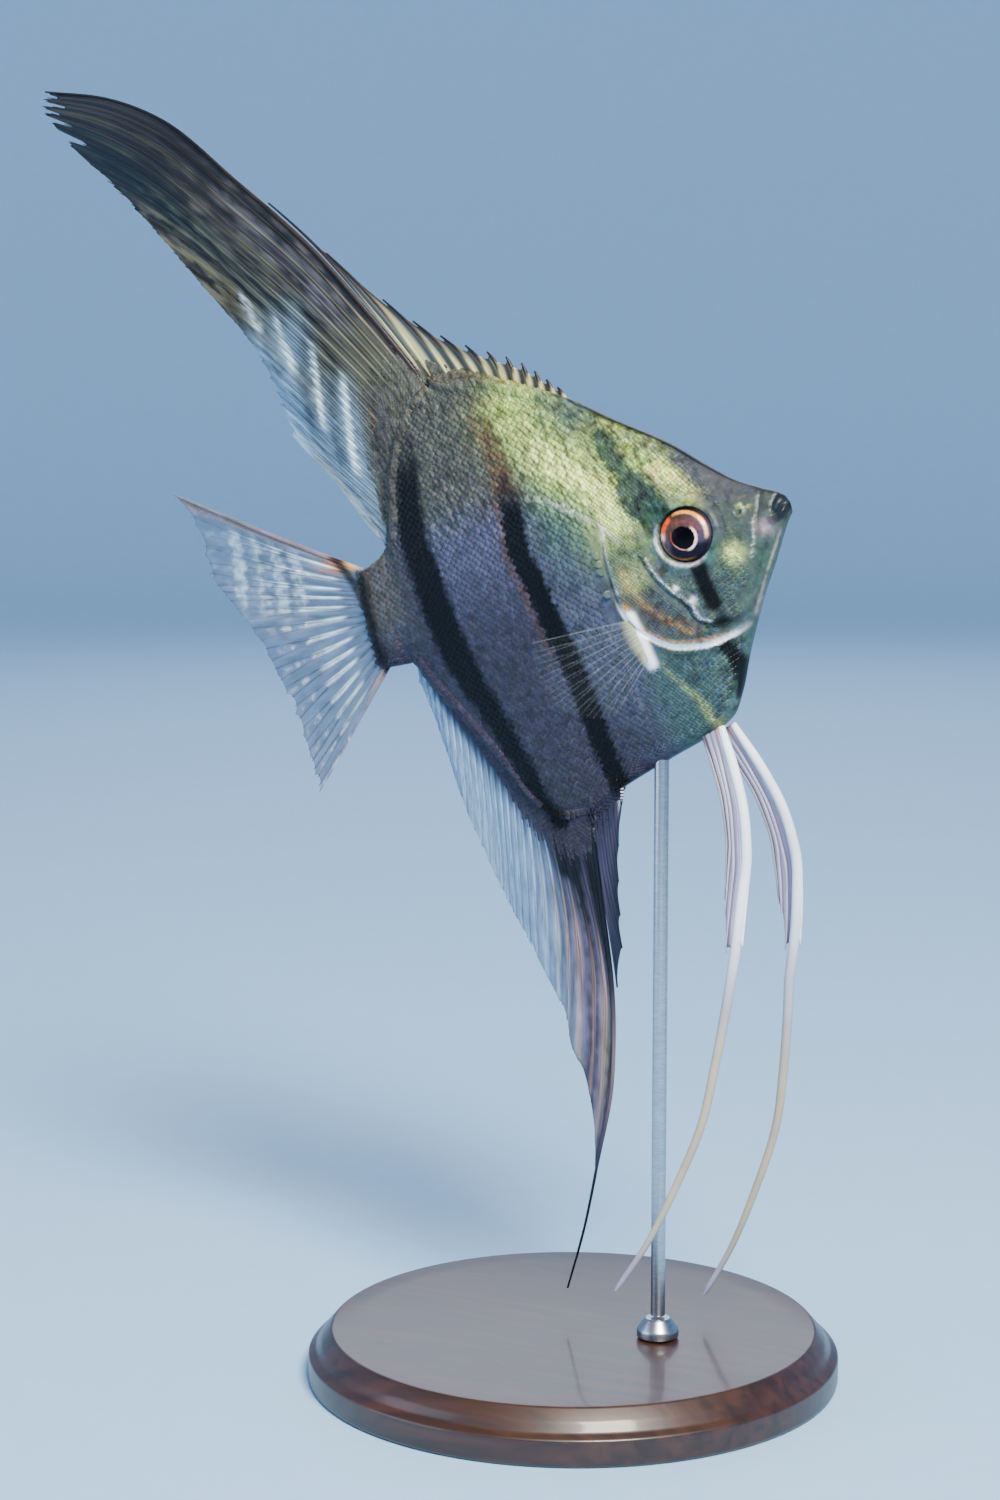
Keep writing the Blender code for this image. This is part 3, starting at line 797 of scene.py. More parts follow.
@dataclass(frozen=True)
class Flank:
    """Colour masks of the body's side, the same on both sides."""

    eye: tuple[float, float] = (22.1, 3.1)
    bar_two: Path = Path(((-7.6, 31.0), (-5.4, 25.5), (-4.3, 21.0), (-3.9, 16.5), (-3.6, 12.1),
                          (-4.0, 9.1), (-3.6, 6.0), (-2.6, 2.6), (-2.0, -0.6), (-1.5, -3.8), (-0.9, -7.0),
                          (-0.3, -10.2), (0.2, -13.4), (0.3, -24.0), (0.0, -31.0)))
    bar_three: Path = Path(((-20.0, 30.5), (-20.9, 25.5), (-21.7, 19.9), (-22.4, 14.5), (-22.0, 10.5),
                            (-21.5, 6.3), (-21.1, 2.0), (-20.4, -2.4), (-19.6, -6.5), (-18.4, -10.5),
                            (-16.6, -15.0), (-15.4, -19.2), (-14.0, -24.0), (-12.8, -29.0), (-12.2, -33.0)))
    bar_one: Path = Path(((11.2, 22.6), (12.6, 19.4), (14.6, 14.9), (16.8, 10.2), (18.6, 6.6)))
    cheek_bar: Path = Path(((22.8, -1.2), (23.1, -4.0), (23.6, -7.4)))
    breast_bar: Path = Path(((22.9, -13.2), (23.9, -15.2), (24.0, -17.4), (23.3, -19.4), (22.3, -21.6)))
    gold_band: Path = Path(((-1.5, 28.5), (0.6, 24.5), (4.0, 19.5), (8.2, 15.8), (11.8, 11.0), (12.6, 6.5)))
    green_band: Path = Path(((12.6, 22.6), (16.4, 18.0), (20.3, 13.4), (25.2, 9.2)))
    cheek_line: Path = Path(((15.6, 1.2), (16.3, -0.9), (18.2, -4.1), (20.4, -6.9), (21.2, -9.1),
                             (22.4, -9.9)))
    gill_line: Path = Path(((11.3, 0.2), (12.3, -2.8), (14.2, -6.2), (16.6, -8.4), (19.5, -10.9)))
    gill_edge: Path = Path(((10.2, 7.6), (9.6, 3.6), (9.7, -2.0), (10.7, -6.4), (13.0, -9.4), (17.0, -12.0),
                            (21.2, -12.6), (24.6, -12.0), (27.6, -10.6)))
    breast_line: Path = Path(((13.6, -14.2), (15.0, -17.0), (17.0, -20.0), (17.8, -22.8), (18.0, -25.0)))
    chin_line: Path = Path(((35.4, 0.8), (33.0, -2.8), (30.3, -6.8), (27.9, -10.6)))
    maxilla: Path = Path(((32.0, 2.7), (31.7, 0.6), (31.0, -1.2), (30.6, -2.4)))
    upper_lip: Path = Path(((37.1, 5.1), (36.2, 4.6), (35.5, 3.7)))
    lower_lip: Path = Path(((37.4, 3.7), (36.4, 2.7), (35.3, 2.0), (34.5, 1.7)))
    lip_crease: Path = Path(((36.2, 5.9), (35.5, 4.9), (35.0, 3.8), (34.9, 2.9)))
    lateral: Path = Path(((14.0, 2.0), (12.4, 4.4), (10.7, 6.4), (7.7, 9.6), (4.2, 12.4), (-1.7, 15.2),
                          (-9.1, 16.6), (-13.4, 16.5), (-16.9, 15.5), (-24.0, 10.5)))
    fin_patch: Path = Path(((10.9, -6.4), (11.4, -10.0), (11.7, -13.8)))

    def bar_widths(self, z: Array) -> tuple[Array, Array]:
        """Half widths of the second and third bars at each height.

        Args:
            z: The heights.

        Returns:
            The second bar's half widths, then the third's.
        """
        two = spline((-31, -12, 2, 10, 18, 22), (1.6, 1.9, 1.9, 1.9, 1.5, 1.0), z)
        three = spline((-33, -24, -12, -3, 6, 14, 22, 30), (1.5, 1.9, 2.5, 3.0, 3.0, 2.8, 2.4, 1.8), z)
        return two, three

    def from_eye(self, x: Array, z: Array) -> Array:
        """How far each place is from the middle of the eye."""
        return np.hypot(x - self.eye[0], z - self.eye[1])

    def cover(self, x: Array, z: Array, side_gill: Array) -> Array:
        """How much of each place is on the gill cover."""
        return smooth(0.0, 1.2, side_gill) * smooth(9.5, 10.5, x) * smooth(7.5, 5.0, z) * (side_gill < 90)

    def masks(self, x: Array, z: Array) -> Masks:
        """Each wash's share at points of the side.

        Args:
            x: How far forward the points are, in millimetres.
            z: How high they are in the fish's own frame.

        Returns:
            The share from 0 to 1 by the wash's name.
        """
        _, t_gill, side_gill = self.gill_edge.near(x, z, margin=14.0)
        return {**self.ground_masks(x, z, side_gill), **self.bar_masks(x, z, t_gill, side_gill),
                **self.shine_masks(x, z, t_gill, side_gill)}

    def ground_masks(self, x: Array, z: Array, side_gill: Array) -> Masks:
        """Shares of the broad washes that give flank, back, head and gill cover their colours, with painted
        shade low and behind and a painted highlight on the shoulder.

        Args:
            x: How far forward the points are, in millimetres.
            z: How high they are in the fish's own frame.
            side_gill: Each point's signed distance from the gill cover's edge, positive on it.

        Returns:
            The share from 0 to 1 by the wash's name.
        """
        gap_three, _, _ = self.bar_three.near(x, z, margin=14.0)
        ripple = wobble(x, z, 2.2)
        front = smooth(-6.0, 2.5, x - 0.06 * z)
        head = smooth(25.0, 28.5, x + 0.30 * z)
        rear = 1 - front
        made: Masks = {}
        made["cool"] = np.clip(front * smooth(12, -6, z + 0.5 * (x - 8)) * 0.80 + rear * smooth(24, 12, z),
                               0, 1)
        breast = front * smooth(7, 15, x) * smooth(-5, -14, z)
        made["cool"] *= (1 - 0.55 * head) * (1 - 0.75 * breast)
        # Deep blue-violet of the lower and rear flank: partly the fish's own colour, partly painted shade
        # where the body turns away from the light, below and behind.
        made["deep"] = np.clip(rear * smooth(12, -7, z) * 0.95
                               + front * smooth(-7, -24, z) * smooth(12, 1, x) * 0.80
                               + 0.35 * front * smooth(-12, -27, z) * (1 - breast)
                               + smooth(-22.5, -27.5, x) * 0.30, 0, 1)
        made["deep"] *= 1 - 0.75 * smooth(-25, -29, x) * smooth(-3, 4, z)
        made["deep"] *= 1 - 0.20 * ripple * (gap_three > 3)
        made["shade"] = np.clip(0.60 * smooth(-21.5, -24.5, x) * smooth(-6, 6, z) * smooth(-29, -26, x)
                                + 0.45 * rear * smooth(-18, -33, z), 0, 1)
        made["streaky"] = smooth(3, 14, z + 0.15 * x) * smooth(26, 18, x) * 0.9 + 0.15
        made["mottled"] = 0.45 + 0.45 * smooth(10.0, 18.0, x + 0.2 * z) * smooth(28.0, 22.0, x)
        made["olive"] = np.maximum(rear * smooth(11, 20, z) * 0.92,
                                   0.75 * smooth(-24, -29, x) * smooth(-3, 4, z))
        gap_gold, t_gold, _ = self.gold_band.near(x, z, margin=16.0)
        gap_green, _, _ = self.green_band.near(x, z, margin=12.0)
        made["gold"] = np.clip(0.88 * bump(gap_gold, 0, 4.6) * (1 - 0.25 * smooth(0.75, 1.0, t_gold))
                               + 0.70 * bump(gap_green, 0, 2.6), 0, 1) * smooth(-2, 4, z + 0.2 * x)
        # Painted highlight: a bright yellow-white core along the gold and green bands, where the shoulder's
        # sheen catches the light.
        made["glow"] = np.clip(0.95 * bump(gap_gold, 0, 2.3) * smooth(0.12, 0.45, t_gold)
                               + 0.75 * bump(gap_green, 0, 1.6) * smooth(17, 21, x) * smooth(28, 25, x),
                               0, 1)
        made["glow"] *= 0.75 + 0.35 * ripple
        edge_gap = along_x(FISH.back, x) - z
        made["grey"] = np.clip(head * smooth(-3.5, 2.5, z) * (0.92 + 0.15 * ripple)
                               + 0.60 * smooth(4.2, 1.2, edge_gap) * smooth(2, 9, x) * (0.8 + 0.4 * ripple),
                               0, 1)
        round_eye = smooth(4.8, 6.5, self.from_eye(x, z))
        made["moss"] = np.clip(0.75 * self.cover(x, z, side_gill) * round_eye * (0.8 + 0.3 * ripple), 0, 1)
        return made

    def bar_masks(self, x: Array, z: Array, t_gill: Array, side_gill: Array) -> Masks:
        """Shares of the dark marks: bars, lips and what edges them.

        Args:
            x: How far forward the points are, in millimetres.
            z: How high they are in the fish's own frame.
            t_gill: How far along the gill cover's edge each point is, from 0 to 1.
            side_gill: Its signed distance from that edge, positive on the cover.

        Returns:
            The share from 0 to 1 by the wash's name.
        """
        two, three = self.bar_widths(z)
        gap_two, _, side_two = self.bar_two.near(x, z, margin=14.0)
        gap_three, _, _ = self.bar_three.near(x, z, margin=14.0)
        gap_one, t_one, _ = self.bar_one.near(x, z)
        ripple, fray = wobble(x, z, 2.2), 0.5 * wobble(x, z, 1.4, 0.9)
        edge_gap = along_x(FISH.back, x) - z
        made: Masks = {}
        wide_one = np.interp(t_one, (0.0, 0.15, 0.40, 0.50, 0.62, 0.85, 1.0),
                             (0.4, 1.5, 1.9, 1.0, 2.9, 3.0, 2.2))
        made["teal"] = np.clip(0.88 * smooth(wide_one + 0.6 + fray, wide_one - 0.9 + fray, gap_one)
                               + 0.40 * bump(gap_one, 4.2, 1.3) * smooth(0.1, 0.5, ripple)
                               * smooth(4, 10, z), 0, 1)
        made["teal"] = np.maximum(made["teal"], 0.30 * bump(side_gill, -1.5, 0.9)
                                  * smooth(0.12, 0.25, t_gill))
        # Bars: black, ragged at their edges, fainter high on the back.
        strong_two = smooth(22.5, 13.0, z) * smooth(-34, -29, z)
        strong_three = smooth(33, 22, z)
        rag = 0.35 * ripple + 0.40 * wobble(x, z, 0.9, 1.3)
        bar_two = smooth(two + 0.55 + rag, two - 0.50 + rag, gap_two) * strong_two
        bar_three = smooth(three + 0.7 + rag, three - 0.9 + rag, gap_three) * strong_three
        gap_cheek, _, _ = self.cheek_bar.near(x, z)
        gap_breast, t_breast, _ = self.breast_bar.near(x, z)
        cheek = 0.97 * smooth(1.75, 0.75, gap_cheek)
        faint = 0.50 * np.exp(-(np.hypot((x - 24.2) / 1.1, (z + 8.6) / 2.0)) ** 2) \
            + 0.85 * np.exp(-(np.hypot((x - 25.3 - 0.15 * z) / 2.2, (z + 10.4) / 0.8)) ** 2)
        breast = 0.97 * smooth(1.5 - 0.6 * t_breast, 0.6 - 0.3 * t_breast, gap_breast)
        keel = smooth(0.968, 0.990, np.abs(FISH.share(x, z)))
        nape = 0.92 * keel * smooth(4, 12, x) * (z > 2)
        root = 0.90 * bump(x + 34.6 - 0.4 * ripple, 0, 1.25) * smooth(12.5, 10.5, z) * smooth(-4.5, -2.5, z)
        made["bar"] = np.clip(np.max([bar_two, bar_three, cheek, faint, breast, nape, root], 0), 0, 1)
        upper, lower = self.upper_lip.near(x, z)[0], self.lower_lip.near(x, z)[0]
        made["lip"] = np.clip(0.60 * flat(upper, 0, 0.70) + 0.40 * bump(upper, 0.65, 0.22) * (lower > 0.6)
                              + 0.92 * flat(lower, 0, 0.62)
                              + 0.35 * dot(x, z, 35.0, 4.4, 1.5)
                              + 0.55 * smooth(0.8, 0.2, edge_gap) * smooth(32.0, 33.5, x), 0, 1)
        arc_gap, _, _ = self.gill_line.near(x, z)
        cover = self.cover(x, z, side_gill)
        made["brown"] = np.clip(0.45 * bump(arc_gap, 0.9, 0.8) * cover * (0.6 + 0.6 * ripple)
                                + 0.85 * bump(side_two, -(float(two.mean()) + 0.75), 0.65)
                                * (0.65 + 0.5 * ripple) * smooth(-14, -4, z) * smooth(19, 14, z)
                                + 0.85 * smooth(two + 2.0, two - 0.6, gap_two) * smooth(13, 18, z)
                                * smooth(33, 25, z) * (0.8 + 0.4 * ripple), 0, 1)
        return made

    def shine_masks(self, x: Array, z: Array, t_gill: Array, side_gill: Array) -> Masks:
        """Shares of the shining lines and spots on cheek, gill cover and breast, partly painted glints.

        Args:
            x: How far forward the points are, in millimetres.
            z: How high they are in the fish's own frame.
            t_gill: How far along the gill cover's edge each point is, from 0 to 1.
            side_gill: Its signed distance from that edge, positive on the cover.

        Returns:
            The share from 0 to 1 by the wash's name.
        """
        ripple, fray = wobble(x, z, 2.2), 0.5 * wobble(x, z, 1.4, 0.9)
        r_eye = self.from_eye(x, z)
        made: Masks = {}
        gap_line, _, _ = self.cheek_line.near(x, z)
        gap_arc, _, _ = self.gill_line.near(x, z)
        gap_low, t_low, _ = self.breast_line.near(x, z)
        gap_lateral, t_lateral, _ = self.lateral.near(x, z)
        gap_patch, _, _ = self.fin_patch.near(x, z)
        gap_chin, t_chin, _ = self.chin_line.near(x, z)
        gap_jaw, t_jaw, _ = self.maxilla.near(x, z)
        on_gill = (x > 9) & (z < 7.6)
        made["amber"] = np.clip(0.34 * bump(gap_arc, 0, 0.45) * (0.8 + 0.6 * wobble(x, z, 1.1))
                                + 0.50 * bump(side_gill, 0.15, 0.28) * smooth(0.32, 0.42, t_gill)
                                * smooth(0.92, 0.80, t_gill) * on_gill
                                + 0.75 * dot(x, z, 10.4, -5.0, 0.7), 0, 1)
        made["lemon"] = np.clip(0.32 * np.exp(-(gap_low / (0.40 + 0.45 * t_low)) ** 2)
                                * (0.25 + 0.75 * t_low)
                                + 0.85 * dot(x, z, 28.3, -1.3, 1.35) * (0.8 + 0.4 * fray)
                                + 0.60 * dot(x, z, 31.0, 4.9, 0.8) * smooth(-0.1, 0.3, fray)
                                + 0.35 * dot(x, z, 12.6, -1.0, 2.2), 0, 1)
        dashes = 0.6 + 0.5 * wobble(x, z, 0.8, 0.2)
        beads = dot(x, z, 18.9, -4.0, 0.42) + dot(x, z, 20.8, -6.4, 0.5)
        # Pearly pale lines of cheek and lateral line, partly painted glints: wet glints on the gill cover's
        # edge and the upper jaw, a highlight on the pectoral fin's white base, and a lit lower rear rim
        # round the eye socket.
        made["pearl"] = np.clip(
            0.60 * bump(gap_line, 0, 0.17) * (0.75 + 0.4 * wobble(x, z, 0.8, 2.0)) + 0.8 * beads
            + 0.40 * bump(gap_lateral, 0, 0.30) * dashes * smooth(0.05, 0.12, t_lateral)
            * smooth(0.48, 0.30, t_lateral)
            + (1.05 + 0.25 * wobble(x, z, 1.2)) * flat(side_gill, -0.50, 0.44) * smooth(0.30, 0.42, t_gill)
            * smooth(1.0, 0.80, t_gill) * on_gill
            + 0.30 * dot(x, z, 9.6, -2.2, 0.5)
            + 0.30 * bump(side_gill, -0.3, 0.4) * smooth(0.35, 0.15, t_gill) * (x > 9)
            + 1.0 * flat(gap_patch, 0, 0.95)
            + 0.70 * bump(gap_jaw, 0, 0.20) * (0.35 + 0.65 * smooth(0, 1, t_jaw))
            * smooth(-0.6, 0.8, wobble(x, z, 0.9))
            + 0.25 * dot(x, z, 30.9, 4.3, 0.3)
            + 0.45 * bump(r_eye, 4.40, 0.24) * smooth(0.0, 0.8, -(x - self.eye[0] + z - self.eye[1]) / 5),
            0, 1)
        made["rose"] = np.clip(0.32 * bump(gap_chin, 0, 0.14) * smooth(0.0, 0.12, t_chin)
                               * (0.7 + 0.5 * ripple)
                               + 0.40 * dot(x, z, 33.4, 1.2, 1.1), 0, 1)
        return made


FLANK = Flank()


@dataclass(frozen=True)
class HeadRelief:
    """Folds and pits of the head and shoulder, as heights in millimetres over the plain flank."""

    step: float = 0.42
    lip: float = 0.24
    cleft: Path = Path(((37.9, 4.7), (36.9, 4.1), (36.0, 3.3), (35.1, 2.7), (34.6, 2.6)))
    fold_one: Path = FLANK.lip_crease
    fold_two: Path = Path(((33.6, 6.6), (33.2, 4.4), (32.6, 2.2), (32.3, -0.4)))
    jaw: Path = Path(((33.8, 0.6), (31.9, -2.2), (30.2, -5.2), (28.2, -8.2)))
    under_eye: Path = Path(((30.0, 0.8), (27.6, -3.4), (24.4, -4.8), (20.6, -3.4), (17.6, -0.4)))
    throat: Path = Path(((30.2, -6.6), (27.2, -10.0), (23.0, -11.4)))
    nostril: tuple[float, float] = (30.3, 4.3)

    def from_nostril(self, x: Array, z: Array) -> Array:
        """How far each place is from the middle of the nostril."""
        return np.hypot(x - self.nostril[0], z - self.nostril[1])

    def groove(self, path: Path, x: Array, z: Array, depth: float, width: float) -> Array:
        """Furrow along a path, running out at its ends."""
        gap, t, _ = path.near(x, z)
        return -depth * np.exp(-(gap / width) ** 2) * smooth(0.0, 0.08, t + 0.03) * smooth(1.0, 0.85, t)

    def height(self, x: Array, z: Array) -> Array:
        """How far the surface stands out at each point of the side.

        Args:
            x: The points' x in the fish's frame, in millimetres.
            z: Their z.

        Returns:
            The height over the plain flank at each point.
        """
        r = FLANK.from_eye(x, z)
        _, t, side = FLANK.gill_edge.near(x, z, margin=14.0)
        ends = smooth(0.0, 0.14, t)
        inside = self.step * np.exp(-np.maximum(side, 0.0) / 3.2)
        brim = 0.10 * bump(side, -1.1, 0.35)
        outside = self.step * smooth(-0.35, 0.0, side) - 0.20 * bump(side, -0.55, 0.35) + brim
        made = np.where(side > 0, inside, outside) * ends * (np.abs(side) < 14)
        made += -1.75 * smooth(4.20, 3.62, r) + 0.20 * bump(r, 4.50, 0.45) - 0.08 * bump(r, 5.9, 0.6)
        _, _, side_line = FLANK.cheek_line.near(x, z)
        made += 0.16 * bump(side_line, 0.35, 0.7) - 0.14 * bump(side_line, -0.75, 0.5)
        made += self.groove(self.cleft, x, z, 0.55, 0.20)
        made += self.groove(self.fold_one, x, z, 0.36, 0.24) + self.groove(self.fold_two, x, z, 0.22, 0.28)
        made += self.groove(self.jaw, x, z, 0.20, 0.32) + self.groove(self.under_eye, x, z, 0.10, 0.45)
        made += self.groove(self.throat, x, z, 0.12, 0.35)
        for path, rise, wide in ((FLANK.upper_lip, self.lip, 0.60), (FLANK.lower_lip, self.lip, 0.60),
                                 (FLANK.maxilla, 0.16, 0.55)):
            gap, _, _ = path.near(x, z)
            made += rise * bump(gap, 0, wide)
        pit = self.from_nostril(x, z)
        made += -0.45 * bump(pit, 0, 0.38) + 0.12 * bump(pit, 0.75, 0.25)
        gap, t_lateral, _ = FLANK.lateral.near(x, z)
        pores = 0.5 + 0.5 * np.sin(t_lateral * 2 * math.pi * 24)
        made += 0.04 * bump(gap, 0, 0.4) * pores * smooth(0.1, 0.2, t_lateral)
        gap, _, _ = FLANK.fin_patch.near(x, z)
        made += 0.55 * bump(gap, 0, 0.95)
        made += 0.05 * wobble(x, z, 3.6) * smooth(20, 26, x) + 0.03 * wobble(x, z, 1.3) * smooth(22, 30, x)
        return made

    def fold(self, x: Array, z: Array) -> Array:
        """How much of each place is painted shade: the dark depth of a fold, the gill cover's edge, the
        eye's socket and the nostril.

        Args:
            x: The points' x in the fish's frame, in millimetres.
            z: Their z.

        Returns:
            The shadow's share at each point, from 0 to 1.
        """
        made = np.zeros(x.shape)
        folds = ((self.cleft, 1.0, 0.20), (self.fold_one, 0.80, 0.24), (self.fold_two, 0.40, 0.26),
                 (self.jaw, 0.30, 0.30), (self.throat, 0.35, 0.3), (self.under_eye, 0.25, 0.4))
        for path, share, wide in folds:
            made = np.maximum(made, -share * self.groove(path, x, z, 1.0, wide))
        _, t, side = FLANK.gill_edge.near(x, z)
        made = np.maximum(made,
                          0.65 * bump(side, -0.5, 0.28) * smooth(0.02, 0.12, t) * smooth(0.45, 0.25, t))
        made = np.maximum(made, smooth(4.12, 3.85, FLANK.from_eye(x, z)))
        return np.clip(np.maximum(made, bump(self.from_nostril(x, z), 0, 0.35)), 0, 1)


RELIEF = HeadRelief()


def relief_out(x: Array, z: Array) -> Array:
    """How far the skin with its relief stands out from the middle plane."""
    return FISH.flank(x, z) + RELIEF.height(x, z)


def side_surface(x: Array, z: Array, sign: float) -> tuple[Array, Array]:
    """Places and outward normals, in the fish's frame, of the skin's side with its relief.

    Args:
        x: The points' x in the fish's frame, in millimetres.
        z: Their z.
        sign: The side's sign of y.

    Returns:
        The places, then the unit normals.
    """
    y, step = relief_out(x, z), 0.15
    slope_x = (relief_out(x + step, z) - relief_out(x - step, z)) / (2 * step)
    slope_z = (relief_out(x, z + step) - relief_out(x, z - step)) / (2 * step)
    normal = np.stack([-slope_x, sign * np.ones_like(x), -slope_z], -1)
    normal /= np.linalg.norm(normal, axis=-1, keepdims=True)
    return np.stack([x, sign * y, z], -1), normal


def unwrap(x: Array, share: Array, y: Array) -> Array:
    """Place of a point of the skin on its own unwrap, the right side in the left half of the square."""
    u = 0.02 + 0.45 * (x - FISH.tail_end) / (FISH.nose_end - FISH.tail_end)
    return np.stack([u + 0.5 * (y > 0), 0.02 + 0.96 * (share + 1) / 2], -1)


def loop_points(mesh: bpy.types.Mesh) -> Array:
    """The point that each corner of the mesh's faces stands on.

    Args:
        mesh: The mesh.

    Returns:
        The number of each corner's point.
    """
    corners = np.empty(len(mesh.loops), np.int64)
    mesh.loops.foreach_get("vertex_index", corners)
    return corners


def set_unwrap(mesh: bpy.types.Mesh, places: Array) -> None:
    """Gives the mesh its one UV map, from a place for each corner.

    Args:
        mesh: The mesh.
        places: A row of two numbers from 0 to 1 for each corner.
    """
    while mesh.uv_layers:
        mesh.uv_layers.remove(mesh.uv_layers[0])
    mesh.uv_layers.new(name="OFBake").data.foreach_set("uv", places.astype(np.float32).ravel())


@dataclass
class Skin:
    """One skin over head, jaw, gill covers, trunk and tail root, with no seam."""

    fine_step: float = 0.23
    coarse_step: float = 0.45
    fine_from: float = 8.0
    side_points: int = 160
    finish: WetSkin = WetSkin()
    nodes: tuple[str, ...] = FLESH

    def stations(self) -> Array:
        """The x of each ring, from the nose back, close together at the head and nose.

        Returns:
            The x of each ring, falling.
        """
        nose = FISH.nose_end - FISH.nose_round * (1 - np.cos(np.linspace(0, math.pi / 2, 8)))
        fine = np.arange(nose[-1] - self.fine_step, self.fine_from, -self.fine_step)
        coarse = np.arange(self.fine_from, FISH.tail_end, -self.coarse_step)
        return np.concatenate([nose, fine, coarse, [FISH.tail_end]])

    def build(self) -> bpy.types.Object:
        """Builds the loft with its relief, masks and unwrap.

        Returns:
            The skin.
        """
        xs = self.stations()
        turn = np.linspace(-1, 1, self.side_points + 1)
        shares = 0.3 * turn + 0.7 * np.sin(turn * math.pi / 2)
        x, v = np.meshgrid(xs, shares, indexing="ij")
        z = FISH.height_at(x, v)
        near_edge = 1 - np.abs(v) ** 16
        relief = RELIEF.height(x, z) * near_edge * smooth(FISH.nose_end, FISH.nose_end - 1.2, x)
        y = np.maximum(FISH.half(x, v) + relief, 0.0)
        y[:, 0], y[:, -1] = 0.0, 0.0
        ring_x = np.concatenate([x, x[:, -2:0:-1]], 1)
        ring_y = np.concatenate([-y, y[:, -2:0:-1]], 1)
        ring_z = np.concatenate([z, z[:, -2:0:-1]], 1)
        rows, columns = ring_x.shape
        points = FISH.place(ring_x, ring_y, ring_z).reshape(-1, 3)
        caps = FISH.place(xs[[0, -1]], np.zeros(2), FISH.height_at(xs[[0, -1]], np.zeros(2)))
        points = np.concatenate([points, caps])
        flat_x = np.append(ring_x.ravel(), xs[[0, -1]])
        flat_z = np.append(ring_z.ravel(), FISH.height_at(xs[[0, -1]], np.zeros(2)))
        masks = FLANK.masks(flat_x, flat_z)
        # Painted shade in the head's creases, round the eye and in the nostril.
        masks["fold"] = RELIEF.fold(flat_x, flat_z)
        piece = mesh_piece("skin", points, tube_faces(rows, columns), masks)
        share = np.clip(FISH.share(flat_x, flat_z), -1, 1)
        corners = loop_points(piece.data)
        totals = np.empty(len(piece.data.polygons), np.int64)
        piece.data.polygons.foreach_get("loop_total", totals)
        face = np.repeat(np.arange(len(totals)), totals)
        lean = np.bincount(face, np.append(ring_y.ravel(), [0.0, 0.0])[corners])[face]
        set_unwrap(piece.data, unwrap(flat_x[corners], share[corners], lean))
        self.piece = piece
        return piece

    def dress(self) -> None:
        """Gives the skin its finish and puts it in place of the nodes of flesh."""
        self.piece.data.materials.append(self.finish.material())
        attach(self.piece, "root")
        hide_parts(*self.nodes)


@dataclass(frozen=True)
class Patch:
    """A part of the flank whose scales share one size."""

    pitch: float
    row: float
    lift: float
    where: Field


def gill_side(x: Array, z: Array) -> Array:
    """Signed distance from the gill cover's free edge, positive on the cover."""
    _, _, side = FLANK.gill_edge.near(x, z, margin=20.0)
    return np.where((side > 90) & (x > 9) & (z < 7), 20.0, np.where(side > 90, -20.0, side))


def on_cover(x: Array, z: Array) -> Array:
    """Where the cheek and gill cover are."""
    low_brow = np.where(x > 16, 7.0 + 0.1 * (x - 16), 7.6)
    return (gill_side(x, z) > 0.35) & (x > 10.2) & (z < low_brow)


def bare(x: Array, z: Array) -> Array:
    """Where the head has no scales: round the eye, the snout, lips, chin and throat membranes.

    Args:
        x: The points' x in the fish's frame, in millimetres.
        z: Their z.

    Returns:
        True where no scale stands.
    """
    r = FLANK.from_eye(x, z)
    gap, _, _ = FLANK.fin_patch.near(x, z)
    side = gill_side(x, z)
    edge = np.abs(FISH.share(x, z))
    return ((r < 5.7) | (x + 0.42 * z > 30.6) | (x - 0.3 * z > 31.0) | (gap < 1.1)
            | ((side < 1.0) & (side > -1.2) & (x > 9) & (z < 7.6)) | ((edge > 0.955) & (x > 5))
            | ((x > 27.0) & (z < -6.0)))


def on_flank(x: Array, z: Array) -> Array:
    """Where the large scales of the trunk are, away from the keel."""
    return (x < 9.5) & (np.abs(FISH.share(x, z)) < 0.90)


PATCHES = (
    Patch(1.20, 0.58, 0.44, lambda x, z: ~bare(x, z) & ~on_cover(x, z) & on_flank(x, z)),
    Patch(0.76, 0.37, 0.26, lambda x, z: ~bare(x, z) & ~on_cover(x, z) & ~on_flank(x, z)),
    Patch(0.62, 0.31, 0.18, lambda x, z: ~bare(x, z) & on_cover(x, z)),
)


